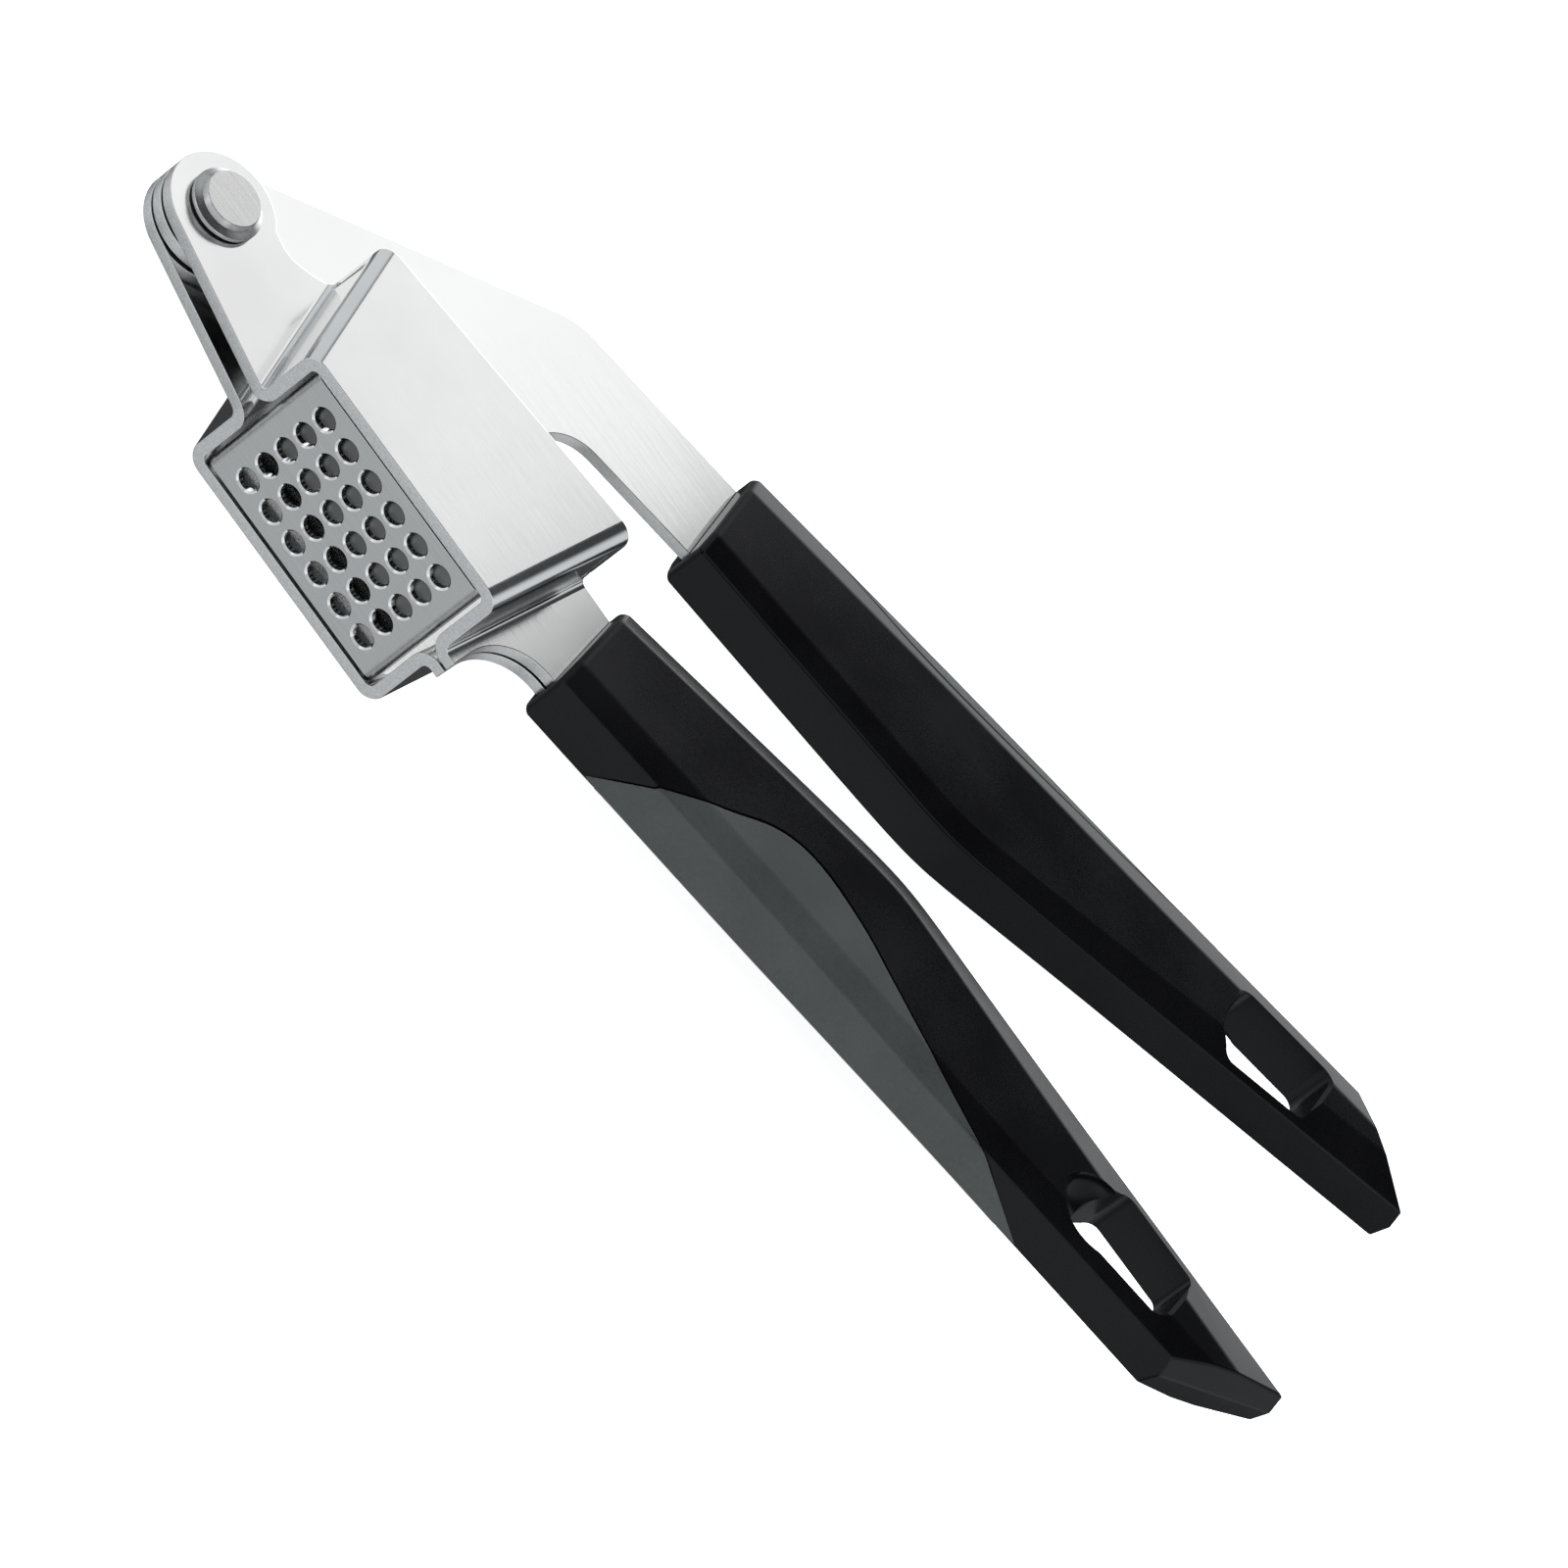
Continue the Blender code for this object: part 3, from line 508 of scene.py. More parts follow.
def satin_steel():
    """The rivet, the sieve and the plunger pin."""
    finish, shader = start_finish("satin_steel", 1.0)
    grain = effect(finish, FINE_GRAIN, 7000.0)
    lines = effect(finish, DRAWN_LINES, 4000.0)
    mask = blend_masks(finish, grain, lines, 0.5)
    tint(finish, mask, (0.52, 0.52, 0.52), (0.66, 0.66, 0.65), shader.inputs["Base Color"])
    between(finish, mask, 0.24, 0.36, shader.inputs["Roughness"])
    add_relief(finish, shader, mask, 0.25, 0.008)
    return finish


POLISHED = polished_sheet("polished_sheet", 0.74, 0.84)
# A much darker copy of the polished sheet: painted shade for the plate down in the hopper.
PAINTED_SHADE_SHEET = polished_sheet("painted_shade_sheet", 0.12, 0.18)
# A lighter copy of the polished sheet: painted light for the lever arm.
PAINTED_LIGHT_SHEET = polished_sheet("painted_light_sheet", 0.86, 0.91)
BLANKED = blanked_edge()
SATIN = satin_steel()


# %% Plastic and rubber finishes
def black_moulding():
    """The handles."""
    finish, shader = start_finish("black_moulding", 0.0, specular=0.22)
    grain = effect(finish, FINE_GRAIN, 3600.0)
    haze = effect(finish, HANDLING, 70.0)
    tint(finish, haze, (0.0015, 0.0015, 0.002), (0.003, 0.003, 0.004), shader.inputs["Base Color"])
    between(finish, blend_masks(finish, grain, haze, 0.6), 0.22, 0.34, shader.inputs["Roughness"])
    add_relief(finish, shader, grain, 0.15, 0.006)
    return finish


def soft_rubber():
    """The grip pads."""
    finish, shader = start_finish("soft_rubber", 0.0, specular=0.35)
    grain = effect(finish, FINE_GRAIN, 3000.0)
    haze = effect(finish, HANDLING, 90.0)
    tint(finish, blend_masks(finish, grain, haze, 0.5), (0.016, 0.019, 0.018), (0.030, 0.035, 0.034),
         shader.inputs["Base Color"])
    between(finish, grain, 0.52, 0.68, shader.inputs["Roughness"])
    shader.inputs["Sheen Weight"].default_value = 0.25
    shader.inputs["Sheen Roughness"].default_value = 0.5
    add_relief(finish, shader, grain, 0.3, 0.02)
    return finish


MOULDED = black_moulding()
RUBBER = soft_rubber()
FINISHES = (POLISHED, PAINTED_SHADE_SHEET, PAINTED_LIGHT_SHEET, BLANKED, SATIN, MOULDED, RUBBER)
print("finishes:", [finish.name for finish in FINISHES])

# %% [markdown]
# ## The folded steel frame
# Two mirror-image plates make the ears, the hopper and the tang inside the lower handle. Each was blanked
# flat and then folded four times: out to the hopper's width, along its side, and back in again. In
# Blender the folds come first, as one long channel, and the side view is then cut through it like a pastry
# cutter. The cutter carries the blanked finish, so every cut edge gets it and every face stays polished.

# %% Frame sizes
SHEET = 1.6
EAR_RADIUS = 6.95
EAR_GAP = 2.2
EAR_DROP = 14.7
HOPPER_WIDTH = 24.8
HOPPER_FLOOR = -11.9
HOPPER_FRONT = 18.9
HOPPER_LENGTH = 33.9
HOPPER_HEIGHT = 19.4
RIM_SLOPE = math.radians(5.9)
FRONT_LEAN = math.radians(16.0)
BACK_LEAN = math.radians(5.5)
CORNER = 2.4
INNER_BEND = 0.9
TAB_HEIGHT = 1.9
TAB_GAP = 0.9
TAB_REACH = 1.6
SCALLOP = 7.7
TANG_LENGTH = 30.0
TANG_TAPER = 0.7
NECK_AT = 4.0
TANG_MARGIN = 1.1
ARM_MARGIN = 1.0
BAY = ((10.6, 4.6), (8.0, 3.9))
GAP = 0.3
RIVET_SHANK = 5.0
ROLLED = 0.13

HALF_WIDTH = HOPPER_WIDTH / 2
EAR_OUT = EAR_GAP / 2 + SHEET
TANG_OUT = GAP / 2 + SHEET
HOPPER_BACK = HOPPER_FRONT + HOPPER_LENGTH
RIM = HOPPER_FLOOR + HOPPER_HEIGHT
TAB_TIP = EAR_OUT + TAB_REACH

HANDLE_LENGTH = 112.4
HANDLE_FRONT = 14.8
LOWER_AT = (HOPPER_BACK + 9.8, -2.1)
LOWER_TURN = math.radians(8.7)
UPPER_AT = (HOPPER_BACK + 3.7, 41.9)
UPPER_TURN = math.radians(12.3)
UPPER_SCALE = 0.965
PLATE_WIDTH = HANDLE_FRONT - 2.1
TANG_WIDTH = HANDLE_FRONT - 5.8


# %% Where the walls and the handle ends are
def handle_point(at, turn, inward, u, v):
    """A point of a handle's own u and v directions in x and y."""
    along = Vector((math.cos(turn), math.sin(turn)))
    across = Vector((-along.y, along.x)) * inward
    return tuple(Vector(at) + along * u + across * v)


def tail_profile(low, high, room=0.0):
    """A steel plate's end inside a handle, in u and v: mouth, neck and tapered tail."""
    inset = (high - low - TANG_WIDTH) / 2
    tail = TANG_WIDTH * (1 - TANG_TAPER) / 2
    end = TANG_LENGTH + room
    lower = [(room, low - room), (NECK_AT, low + inset - room), (end, low + inset + tail - room)]
    upper = [(end, high - inset - tail + room), (NECK_AT, high - inset + room), (room, high + room)]
    if room:
        lower.insert(0, (-3 * room, low - room))
        upper.append((-3 * room, high + room))
    return lower + upper


def plate_tail(at, turn, inward, low, scale=1.0):
    """The same end on the press, in a handle of that scale."""
    profile = tail_profile(low, low + PLATE_WIDTH)
    return [handle_point(at, turn, inward, u * scale, v * scale) for u, v in profile]


def front_wall_at(y):
    """Outside x of the pivot-side end wall at a height."""
    return HOPPER_FRONT - math.tan(FRONT_LEAN) * (y - HOPPER_FLOOR)


def back_wall_at(y):
    """Outside x of the handle-side end wall at a height."""
    return HOPPER_BACK + math.tan(BACK_LEAN) * (y - HOPPER_FLOOR)


def rim_at(x):
    """Height of the hopper's rim."""
    return RIM + math.tan(RIM_SLOPE) * (x - front_wall_at(0.0))


# %% Fold, trim and notch one plate
def fold_ring(y, side, steps=10):
    """The folded sheet's cross-section at a height; side is +1 near or -1 far."""
    outside = [
        (-2 * EAR_RADIUS, EAR_OUT), (front_wall_at(y), EAR_OUT), (front_wall_at(y), HALF_WIDTH),
        (back_wall_at(y), HALF_WIDTH), (back_wall_at(y), TANG_OUT), (LOWER_AT[0] + TANG_LENGTH, TANG_OUT)]
    radii = (INNER_BEND, CORNER, CORNER, INNER_BEND)
    inner_radii = (INNER_BEND + SHEET, CORNER - SHEET, CORNER - SHEET, INNER_BEND + SHEET)
    ring = rounded(outside, radii, steps)
    ring += rounded(offset_line(outside, SHEET), inner_radii, steps)[::-1]
    return [(x, y, side * z) for x, z in ring]


def frame_outline():
    """Side view of a frame plate: ear, hopper wall and tang."""
    ear = arc((0.0, 0.0), EAR_RADIUS, 40, 270 - EAR_DROP, 44)
    tail = plate_tail(LOWER_AT, LOWER_TURN, 1, TANG_MARGIN)
    notch = arc((tail[0][0], tail[0][1] - SCALLOP), SCALLOP, 180, 90, 16)[:-1]
    back = back_wall_at(0.0) + 2
    front = front_wall_at(RIM - TAB_HEIGHT)
    shoulder = (front - GAP, rim_at(front))
    bay = smooth_line([(shoulder[0], shoulder[1] - 0.5 * TAB_HEIGHT), *BAY, ear[0]], 8)[:-1]
    floor_line = [(front_wall_at(HOPPER_FLOOR), HOPPER_FLOOR), (tail[0][0] - SCALLOP, HOPPER_FLOOR)]
    return ear + floor_line + notch + tail + [(back, rim_at(back)), shoulder] + bay


def tab_notch(side, wall):
    """Solid between a hook tab and the end wall under it."""
    top = rim_at(wall)
    tab_low = top - TAB_HEIGHT
    corner = HALF_WIDTH - CORNER - GAP
    wedge = [
        (EAR_OUT + INNER_BEND, tab_low + 0.2 * TAB_HEIGHT), (TAB_TIP - 2 * GAP, top + TAB_HEIGHT),
        (TAB_TIP - GAP, tab_low + 0.4 * TAB_HEIGHT), (TAB_TIP + TAB_GAP, tab_low), (corner, tab_low),
        (corner, tab_low - TAB_GAP), (EAR_OUT + INNER_BEND, tab_low - 0.2 * TAB_GAP)]
    rings = [[(x, y, side * z) for z, y in wedge] for x in (wall - 3 * SHEET, wall + 3 * SHEET)]
    return add_piece("notch", loft(rings), [BLANKED])


def round_tool(x, y, radius, half_length, paint, sides=48):
    """A round cutter along z."""
    circle = arc((x, y), radius, 0, 360, sides)[:-1]
    return add_piece("bore", prism(circle, -half_length, half_length), [paint])


def frame_plate(name, side):
    """One folded steel plate."""
    high = max(RIM, LOWER_AT[1] + HANDLE_FRONT) + 4 * SHEET
    rings = [fold_ring(HOPPER_FLOOR - SHEET, side), fold_ring(high, side)]
    plate = add_piece(name, loft(rings), [POLISHED])
    reach = HALF_WIDTH + 1
    shape_with(plate, "INTERSECT", add_piece("side_view", prism(frame_outline(), -reach, reach), [BLANKED]))
    shape_with(plate, "DIFFERENCE", tab_notch(side, front_wall_at(RIM)), tab_notch(side, back_wall_at(RIM)),
               round_tool(0, 0, RIVET_SHANK / 2 + GAP, HALF_WIDTH, BLANKED))
    return roll_edges(plate, ROLLED, clamp=False)


for name, side in (("near", 1), ("far", -1)):
    hand_over(frame_plate("fine_frame_" + name, side), "frame_plate_" + name, "frame")

# %% [markdown]
# ## The sieve
# The sieve is a thinner sheet that drops into the hopper, with its two ends turned up. Its holes are
# punched from inside, which leaves a small rolled rim that shines. A countersunk cutter, wider at the
# outside face, leaves the same rim here.

# %% Sieve
SIEVE_SHEET = 1.0
SIEVE_ROWS = 6
SIEVE_COLUMNS = 5
HOLE = 2.75
PITCH_X = 4.18
PITCH_Z = 3.64
HOLE_FLARE = 0.22
SIEVE_LIP = 4.0
SIEVE_BEND = 1.2
SIEVE_END_GAP = 0.6
SIEVE_SEAT = 0.2
SIEVE_FLOOR = HOPPER_FLOOR + SIEVE_SEAT
SIEVE_TOP = SIEVE_FLOOR + SIEVE_SHEET


def punch(x, z, sides=28):
    """One hole's cutter, flared at both faces of the sheet."""
    rings = []
    for y, radius in ((SIEVE_FLOOR - 0.3, HOLE / 2 + HOLE_FLARE + 0.3), (SIEVE_FLOOR + HOLE_FLARE, HOLE / 2),
                      (SIEVE_TOP - 0.1, HOLE / 2), (SIEVE_TOP + 0.3, HOLE / 2 + 0.4)):
        rings.append([(x + radius * math.cos(2 * math.pi * i / sides), y,
                       z + radius * math.sin(2 * math.pi * i / sides)) for i in range(sides)])
    return loft(rings)


def sieve():
    """Perforated insert with turned-up ends."""
    front = HOPPER_FRONT + SHEET + SIEVE_END_GAP
    back = HOPPER_BACK - SHEET - SIEVE_END_GAP
    lean = math.tan(FRONT_LEAN) * SIEVE_LIP
    line = [(front - lean, SIEVE_FLOOR + SIEVE_LIP), (front, SIEVE_FLOOR), (back, SIEVE_FLOOR),
            (back, SIEVE_FLOOR + SIEVE_LIP)]
    ring = rounded(line, (SIEVE_BEND, SIEVE_BEND), 8)
    tight = SIEVE_BEND - SIEVE_SHEET * 0.8
    ring += rounded(offset_line(line, -SIEVE_SHEET), (tight, tight), 8)[::-1]
    half = HALF_WIDTH - SHEET - GAP
    plate = add_piece("fine_sieve", prism(ring, -half, half), [SATIN, POLISHED])
    roll_edges(plate, ROLLED, angle=50)
    holes = bmesh.new()
    middle = (front + back) / 2
    for row in range(SIEVE_ROWS):
        for column in range(SIEVE_COLUMNS):
            one = punch(middle + (row - (SIEVE_ROWS - 1) / 2) * PITCH_X,
                        (column - (SIEVE_COLUMNS - 1) / 2) * PITCH_Z)
            mesh = bpy.data.meshes.new("punch")
            one.to_mesh(mesh)
            one.free()
            holes.from_mesh(mesh)
            bpy.data.meshes.remove(mesh)
    return shape_with(plate, "DIFFERENCE", add_piece("punches", holes, [POLISHED]))


hand_over(sieve(), "sieve_plate", "frame")

# %% [markdown]
# ## Rivet, pin and lever arm
# Anything turned is a profile spun round an axis. The rivet head has a flat face, a dark shoulder and a
# thin bright ring where it meets the ear. The lever arm is a flat blank: one outline with a tongue that
# reaches down into the hopper, where the pin carries the plunger.

# %% Spin a profile
def turned(name, profile, paints, sides=72):
    """A body of revolution about z from (radius, z) points."""
    rings = [[(radius * math.cos(2 * math.pi * i / sides), radius * math.sin(2 * math.pi * i / sides), z)
              for i in range(sides)] for radius, z in profile]
    return add_piece(name, loft(rings), paints)


# %% Rivet
RIVET_HEAD = 8.9
RIVET_FACE = 7.0
RIVET_HEIGHT = 1.9
RIVET_SOFTNESS = 0.14


def rivet():
    """Pivot rivet with a stepped head at each end."""
    head, face = RIVET_HEAD / 2, RIVET_FACE / 2
    seat = EAR_OUT + GAP
    base, top = seat + 0.35 * RIVET_HEIGHT, seat + RIVET_HEIGHT
    shoulder = face + (head - face) * 0.45
    soft = RIVET_SOFTNESS
    half = [(RIVET_SHANK / 2, seat), (head - soft, seat), (head, seat + soft), (head, base - soft),
            (head - 0.3 * soft, base - 0.3 * soft), (head - soft, base),
            (shoulder, base + 0.12 * RIVET_HEIGHT), (shoulder - 0.3, base + 0.2 * RIVET_HEIGHT),
            (face, top - soft), (face - 0.3 * soft, top - 0.3 * soft), (face - soft, top)]
    profile = [(radius, -z) for radius, z in half[::-1]] + half
    return turned("fine_rivet", profile, [SATIN])


hand_over(rivet(), "pivot_rivet", "frame")

# %% Lever arm sizes, and where the plunger pin is
ARM_SHEET = 1.6
ARM_RISE = math.radians(41.0)
ARM_SHOULDER = 31.5
ARM_BACK_BEND = 9.0
ARM_PIT_BEND = 6.5
TONGUE_WIDTH = 7.0
WEB_END = (16.0, 4.5)
WEB_BEND = 2.0
PIN_HEIGHT = 7.8
PIN_SHANK = 3.2
pin_low, pin_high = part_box("plunger_pin")
PIN = ((pin_low + pin_high) / 2 - PIVOT) / MM
plate_low, plate_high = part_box("pressing_plate")
PLATE_HALF = (plate_high.x - plate_low.x) / 2 / MM
PLUNGER_SWEEP = math.hypot(PLATE_HALF, PIN_HEIGHT) + 2 * GAP
print("plunger pin", [round(value, 2) for value in PIN], "mm from the pivot")


# %% Lever arm
def lever_arm():
    """Flat lever plate with a tongue to the plunger pin, cut away where the plunger folds up."""
    disc = arc((0.0, 0.0), EAR_RADIUS, 90 + math.degrees(ARM_RISE), 310, 40)
    start = disc[0]
    shoulder = (ARM_SHOULDER, start[1] + math.tan(ARM_RISE) * (ARM_SHOULDER - start[0]))
    mouth_high, *tail_high, mouth_low = plate_tail(UPPER_AT, UPPER_TURN, -1, ARM_MARGIN, UPPER_SCALE)
    half = TONGUE_WIDTH / 2
    armpit = handle_point(UPPER_AT, UPPER_TURN, -1, PIN.x + half - UPPER_AT[0],
                          (ARM_MARGIN + PLATE_WIDTH) * UPPER_SCALE)
    tip = arc((PIN.x, PIN.y), half, 0, -180, 24)
    scoop = arc((PIN.x, PIN.y), PLUNGER_SWEEP, 160, 115, 24)
    corner = (PIN.x - half, scoop[-1][1] + WEB_BEND)
    web = rounded([disc[-1], WEB_END, scoop[0]], (4 * WEB_BEND,), 10)[1:]
    web += scoop[1:-1] + rounded([scoop[-1], corner, tip[-1]], (WEB_BEND,), 8)[:-1]
    under = rounded([mouth_low, (PIN.x + half, armpit[1]), tip[0]], (ARM_PIT_BEND,), 20)[1:-1]
    back = rounded([mouth_high, shoulder, start], (ARM_BACK_BEND,), 16)[1:-1]
    outline = disc + web + tip[::-1] + under[::-1] + [mouth_low] + tail_high[::-1] + [mouth_high] + back
    # The arm's faces take the lighter copy of the sheet, which is painted light.
    arm = add_piece("fine_lever_arm", prism(outline, -ARM_SHEET / 2, ARM_SHEET / 2, side_paint=1),
                    [PAINTED_LIGHT_SHEET, BLANKED])
    shape_with(arm, "DIFFERENCE", round_tool(0, 0, RIVET_SHANK / 2 + GAP, 2 * ARM_SHEET, BLANKED),
               round_tool(PIN.x, PIN.y, PIN_SHANK / 2 + GAP, 2 * ARM_SHEET, BLANKED, 32))
    return roll_edges(arm, ROLLED, angle=60, clamp=False)


hand_over(lever_arm(), "lever_arm", "lever")

# %% [markdown]
# ## The plunger
# A face plate fills the hopper, and a small folded bracket with two lugs joins it to the tongue. Both are
# modelled round the pin and moved to it at the end, because the pin is the axis that they swing on.

# %% Plunger pieces
PLATE_SHEET = 1.6
PLATE_SIDE_GAP = 0.6
PLATE_CORNER = 1.2
PLATE_SOFTNESS = 0.2
BRACKET_SHEET = 1.4
BRACKET_LENGTH = 12.0
LUG_WALL = 0.5
PIN_HEAD = 5.2
PIN_HEAD_HEIGHT = 0.9
AT_PIN = TO_WORLD @ Matrix.Translation((PIN.x, PIN.y, 0))


def pressing_plate():
    """Face plate of the plunger, modelled about the pin."""
    half_width = HALF_WIDTH - SHEET - PLATE_SIDE_GAP
    corners = [(-PLATE_HALF, -half_width), (PLATE_HALF, -half_width),
               (PLATE_HALF, half_width), (-PLATE_HALF, half_width)]
    ring = rounded_loop(corners, (PLATE_CORNER,) * 4, 8)
    levels = (-PIN_HEIGHT, -PIN_HEIGHT + PLATE_SHEET)
    # The plate's faces take the darker copy of the sheet, which is painted shade.
    plate = add_piece("fine_pressing_plate", loft([[(x, y, z) for x, z in ring] for y in levels], 1, 0),
                      [PAINTED_SHADE_SHEET, BLANKED])
    return roll_edges(plate, PLATE_SOFTNESS, angle=60, segments=3)


def bracket():
    """Folded bracket with two lugs for the pin."""
    inside = ARM_SHEET / 2 + GAP
    outside = inside + BRACKET_SHEET
    floor_level = -PIN_HEIGHT + PLATE_SHEET + GAP
    half = BRACKET_LENGTH / 2
    base = [(-half, floor_level), (half, floor_level), (half, floor_level + BRACKET_SHEET),
            (-half, floor_level + BRACKET_SHEET)]
    made = add_piece("fine_bracket", prism(base, -outside, outside), [POLISHED, BLANKED])
    crown = arc((0.0, 0.0), PIN_HEAD / 2 + LUG_WALL, 160, 20, 18)
    foot = floor_level + 0.2 * BRACKET_SHEET
    lug = [(half, foot)] + crown[::-1] + [(-half, foot)]
    for low, high in ((inside, outside), (-outside, -inside)):
        shape_with(made, "UNION", add_piece("lug", prism(lug, low, high, side_paint=1), [POLISHED, BLANKED]))
    shape_with(made, "DIFFERENCE", round_tool(0, 0, PIN_SHANK / 2 + GAP, 2 * outside, BLANKED, 32))
    return roll_edges(made, ROLLED, clamp=False)


def plunger_pin():
    """Pin with a domed head at each end."""
    head = PIN_HEAD / 2
    seat = ARM_SHEET / 2 + GAP + BRACKET_SHEET + GAP
    top = seat + PIN_HEAD_HEIGHT
    half = [(PIN_SHANK / 2, seat), (head, seat), (head, top - 0.35), (head - 0.12, top - 0.14),
            (head - 0.4, top)]
    return turned("fine_pin", [(radius, -z) for radius, z in half[::-1]] + half, [SATIN], 40)


hand_over(pressing_plate(), "pressing_plate", "plunger", AT_PIN)
hand_over(bracket(), "hinge_bracket", "plunger", AT_PIN)
hand_over(plunger_pin(), "plunger_pin", "plunger", AT_PIN)

# %% [markdown]
# ## The handles
# One moulding serves both handles: the upper one is the same form turned over and made a little smaller. It
# is drawn along u, from its front end to its tip, and across v, from the outer edge to the inner edge. Two
# broad bevels on each edge make it slim to look at, a hump fills the palm, and two slanted facets meet in a
# ridge at the tip.

# %% Handle sizes
HANDLE_HUMP = 19.0
HUMP_AT = 43.2
HUMP_BLEND = 0.5
HANDLE_TAIL = 8.9
HALF_FRONT = 4.7
HALF_TAIL = 4.2
THINNING = (0.6, 1.1)
OUTER_CHAMFER = (3.2, 1.0)
INNER_CHAMFER = (2.6, 1.1)
INNER_FLARE = 2.3
FACE_LEFT = 0.2
BOW_START = HANDLE_LENGTH - 12.2
BOW_SIDE = (HANDLE_LENGTH - 7.4, 4.3)
SLOT = (HANDLE_LENGTH - 31.2, HANDLE_LENGTH - 16.6)
SLOT_WALL = 1.1
SLOT_FLOOR = 2.15
SLOT_SLANT = (3.0, 4.0)
SLOT_RADII = (1.6, 1.8, 1.2, 2.0, 3.0)
SLOT_FLARE = 0.45
SCOOP_SIZE = (6.0, 4.3, 3.4)
SCOOP_AT = (SLOT[0] + 2.4, 6.0, HALF_TAIL + 0.25)
PAD_DEPTH = 1.3
PAD_PEAK = 9.6
PAD_BACK = 1.9
PAD_LEAF = (15.8, HANDLE_LENGTH - 43.4)
PAD_STRIP = (10.0, HANDLE_LENGTH - 32.4)
CUT = 2 * HALF_FRONT
FRONT_BEVEL = 0.5
RIDGE_SOFTNESS = 0.32
PAD_SOFTNESS = 0.16


def handle_height(u):
    """Height of a handle at u: a rounded hump between two straight runs."""
    rise = HANDLE_FRONT + (HANDLE_HUMP - HANDLE_FRONT) * u / HUMP_AT
    fall = HANDLE_HUMP + (HANDLE_TAIL - HANDLE_HUMP) * (u - HUMP_AT) / (HANDLE_LENGTH - HUMP_AT)
    return -HUMP_BLEND * math.log(math.exp(-rise / HUMP_BLEND) + math.exp(-fall / HUMP_BLEND))


def half_thickness(u):
    """Half of a handle's thickness at u."""
    start, span = THINNING
    share = min(1.0, max(0.0, (u - HUMP_AT * start) / (HUMP_AT * span)))
    share = share * share * (3 - 2 * share)
    return HALF_FRONT + (HALF_TAIL - HALF_FRONT) * share


# %% The moulding's outer form
def handle_ring(u, inset=0.0):
    """A handle's cross-section at u."""
    high, low, side = handle_height(u) - inset, inset, half_thickness(u) - inset
    inner = INNER_CHAMFER[0] + INNER_FLARE * max(0.0, (u - HUMP_AT) / (HANDLE_LENGTH - HUMP_AT))
    knee = max(high - inner, low + OUTER_CHAMFER[0] + FACE_LEFT)
    half = [(low, side - OUTER_CHAMFER[1]), (low + OUTER_CHAMFER[0], side),
            (knee, side), (high, side - INNER_CHAMFER[1])]
    return [(u, v, z) for v, z in half] + [(u, v, -z) for v, z in half[::-1]]


def shrunk(ring, u, amount):
    """A ring moved to u, with every point pulled in towards its middle by an amount."""
    v_middle = sum(point[1] for point in ring) / len(ring)
    return [(u, v - math.copysign(amount, v - v_middle), z - math.copysign(amount, z))
            for _, v, z in ring]


def handle_form(inset=0.0, front_bevel=0.0):
    """The outer form, or a core inset inside it, with the slanted tip already cut."""
    tail = HANDLE_LENGTH - HUMP_AT
    stations = [share * HUMP_AT for share in (0.0, 0.2, 0.4, 0.55, 0.7)]
    stations += [HUMP_AT + 1.2 * step for step in range(-7, 8)]
    stations += [HUMP_AT + share * tail for share in (0.2, 0.28, 0.36, 0.45, 0.54, 0.75, 1.0)]
    rings = [handle_ring(u, inset) for u in stations]
    if front_bevel:
        rings[0] = shrunk(handle_ring(0.0, inset), 0.0, front_bevel)
        rings.insert(1, handle_ring(front_bevel * 1.3, inset))
    body = loft(rings)
    ridge = Vector((BOW_START, 0.0, 0.0))
    tip = Vector((HANDLE_LENGTH, HANDLE_TAIL, 0.0))
    for side in (1, -1):
        crease = Vector((*BOW_SIDE, side * HALF_TAIL))
        normal = (tip - ridge).cross(crease - ridge).normalized()
        normal *= math.copysign(1.0, normal.x)
        parts = list(body.verts) + list(body.edges) + list(body.faces)
        bmesh.ops.bisect_plane(body, geom=parts, dist=1e-4, plane_co=ridge, plane_no=normal,
                               clear_outer=True)
        bmesh.ops.holes_fill(body, edges=[edge for edge in body.edges if edge.is_boundary])
    return body


# %% The pad's leaf shape
def pad_leaf(height, front, back, low, steps=8):
    """Leaf outline of a pad in u and v."""
    span = back - front
    shape = ((0.0, 0.0), (0.13, 0.46), (0.24, 0.88), (0.35, 1.0),
             (0.5, 0.86), (0.63, 0.62), (0.8, 0.3), (1.0, 0.0))
    crest = smooth_line([(front + along * span, up * height) for along, up in shape], steps)
    return [(front - 0.1 * height, low)] + crest + [(back + 0.2 * height, low)]


def pad_region(grow):
    """A tall leaf on one side that thins to a strip on the other."""
    tall = pad_leaf(PAD_PEAK + grow, PAD_LEAF[0] - grow, PAD_LEAF[1] + grow, -CUT)
    thin = pad_leaf(PAD_BACK + grow, PAD_STRIP[0] - grow, PAD_STRIP[1] + grow, -CUT)
    edge = HALF_TAIL - OUTER_CHAMFER[1]
    levels = ((thin, -CUT), (thin, -edge), (tall, edge), (tall, CUT))
    built = loft([[(u, v, z) for u, v in leaf] for leaf, z in levels])
    bmesh.ops.triangulate(built, faces=list(built.faces), quad_method="FIXED")
    return add_piece("pad_region", built, [MOULDED])


# %% The hanging slot and its scoop
def slot_corners(grow):
    """Corners of the slot in u and v, moved outwards by an amount."""
    start, end = SLOT
    top_start = handle_height(start + SLOT_SLANT[0]) - SLOT_WALL + grow
    top_end = handle_height(end) - SLOT_WALL + grow
    low = SLOT_FLOOR - grow
    return [(start - grow, low), (end + grow, low), (end + grow, top_end),
            (start + SLOT_SLANT[0] - 0.5 * grow, top_start), (start - grow, top_start - SLOT_SLANT[1])]


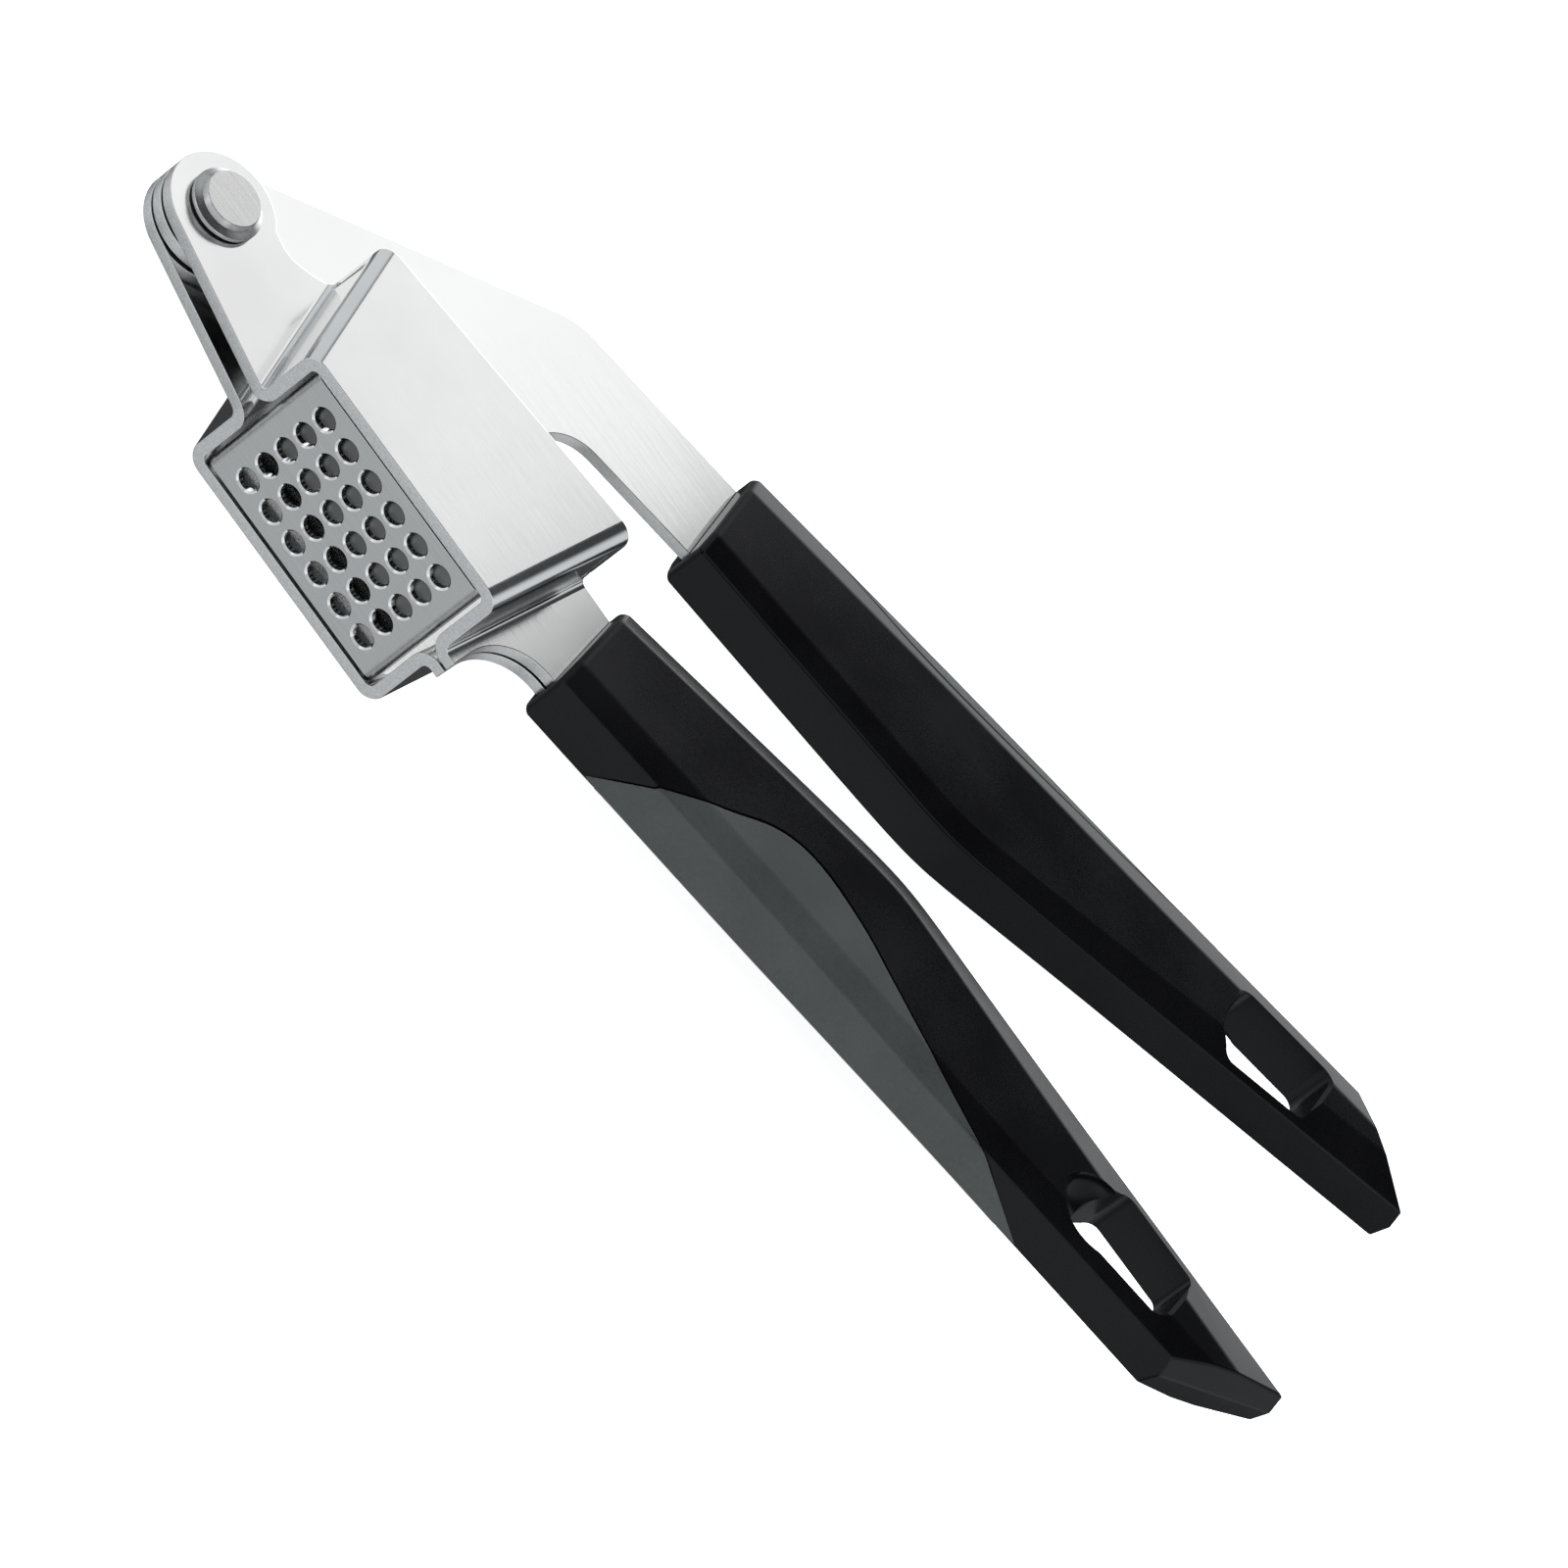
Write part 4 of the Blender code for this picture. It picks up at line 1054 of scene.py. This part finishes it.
def slot_tool():
    """The slot's cutter, flared where it leaves each side face."""
    out, inside = HALF_TAIL + SLOT_FLARE, HALF_TAIL - SLOT_FLARE
    rings = []
    for z, grow in ((-out, 2 * SLOT_FLARE), (-inside, 0.0), (inside, 0.0), (out, 2 * SLOT_FLARE)):
        ring = rounded_loop(slot_corners(grow), [radius + grow for radius in SLOT_RADII], 8)
        rings.append([(u, v, z) for u, v in ring])
    return add_piece("slot", loft(rings), [MOULDED])


def scoop_tool():
    """A thumb-shaped hollow in front of the slot, on the moulding's front side."""
    made = bmesh.new()
    bmesh.ops.create_uvsphere(made, u_segments=48, v_segments=24, radius=1.0)
    placed = Matrix.Translation(SCOOP_AT) @ Matrix.Diagonal((*SCOOP_SIZE, 1.0))
    bmesh.ops.transform(made, verts=made.verts, matrix=placed)
    return add_piece("scoop", made, [MOULDED])


# %% Build one handle and its pad
def plate_pocket(low, half):
    """Room for a steel plate inside a handle."""
    room = 1.2 * GAP
    ends = tail_profile(low, low + PLATE_WIDTH, room)
    return add_piece("pocket", prism(ends, -half - room, half + room), [MOULDED])


def moulding(name, plate_half, plate_low):
    """One handle body in its own u, v and z."""
    body = add_piece(name, handle_form(front_bevel=FRONT_BEVEL), [MOULDED])
    roll_edges(body, RIDGE_SOFTNESS, angle=12, segments=3)
    pad_room = pad_region(GAP)
    shape_with(pad_room, "DIFFERENCE", add_piece("core", handle_form(PAD_DEPTH + GAP), [MOULDED]))
    shape_with(body, "DIFFERENCE", pad_room, slot_tool(), scoop_tool(), plate_pocket(plate_low, plate_half))
    return body


def soft_pad(name):
    """The pad that lies in the moulding's recess."""
    pad = add_piece(name, handle_form(), [RUBBER])
    roll_edges(pad, RIDGE_SOFTNESS, angle=12, segments=3)
    shape_with(pad, "INTERSECT", pad_region(0.0))
    shape_with(pad, "DIFFERENCE", add_piece("core", handle_form(PAD_DEPTH), [RUBBER]))
    for slot_number in range(len(pad.data.materials)):
        pad.data.materials[slot_number] = RUBBER
    return roll_edges(pad, PAD_SOFTNESS, angle=50, clamp=False)


def handle_place(at, turn, turned_over, scale):
    """Where a handle's own frame is on the press, and how large it is there."""
    flip = Matrix.Rotation(math.pi, 4, "X") if turned_over else Matrix.Identity(4)
    return (TO_WORLD @ Matrix.Translation((*at, 0.0)) @ Matrix.Rotation(turn, 4, "Z") @ flip
            @ Matrix.Scale(scale, 4))


HANDLES = (
    ("lower", "frame", LOWER_AT, LOWER_TURN, False, 1.0, TANG_OUT, TANG_MARGIN),
    ("upper", "lever", UPPER_AT, UPPER_TURN, True, UPPER_SCALE, ARM_SHEET / 2, ARM_MARGIN))
for label, body_name, at, turn, turned_over, scale, plate_half, plate_low in HANDLES:
    where = handle_place(at, turn, turned_over, scale)
    body = moulding(f"fine_{label}_handle", plate_half / scale, plate_low)
    hand_over(body, label + "_handle", body_name, where)
    hand_over(soft_pad(f"fine_{label}_pad"), label + "_grip_pad", body_name, where)
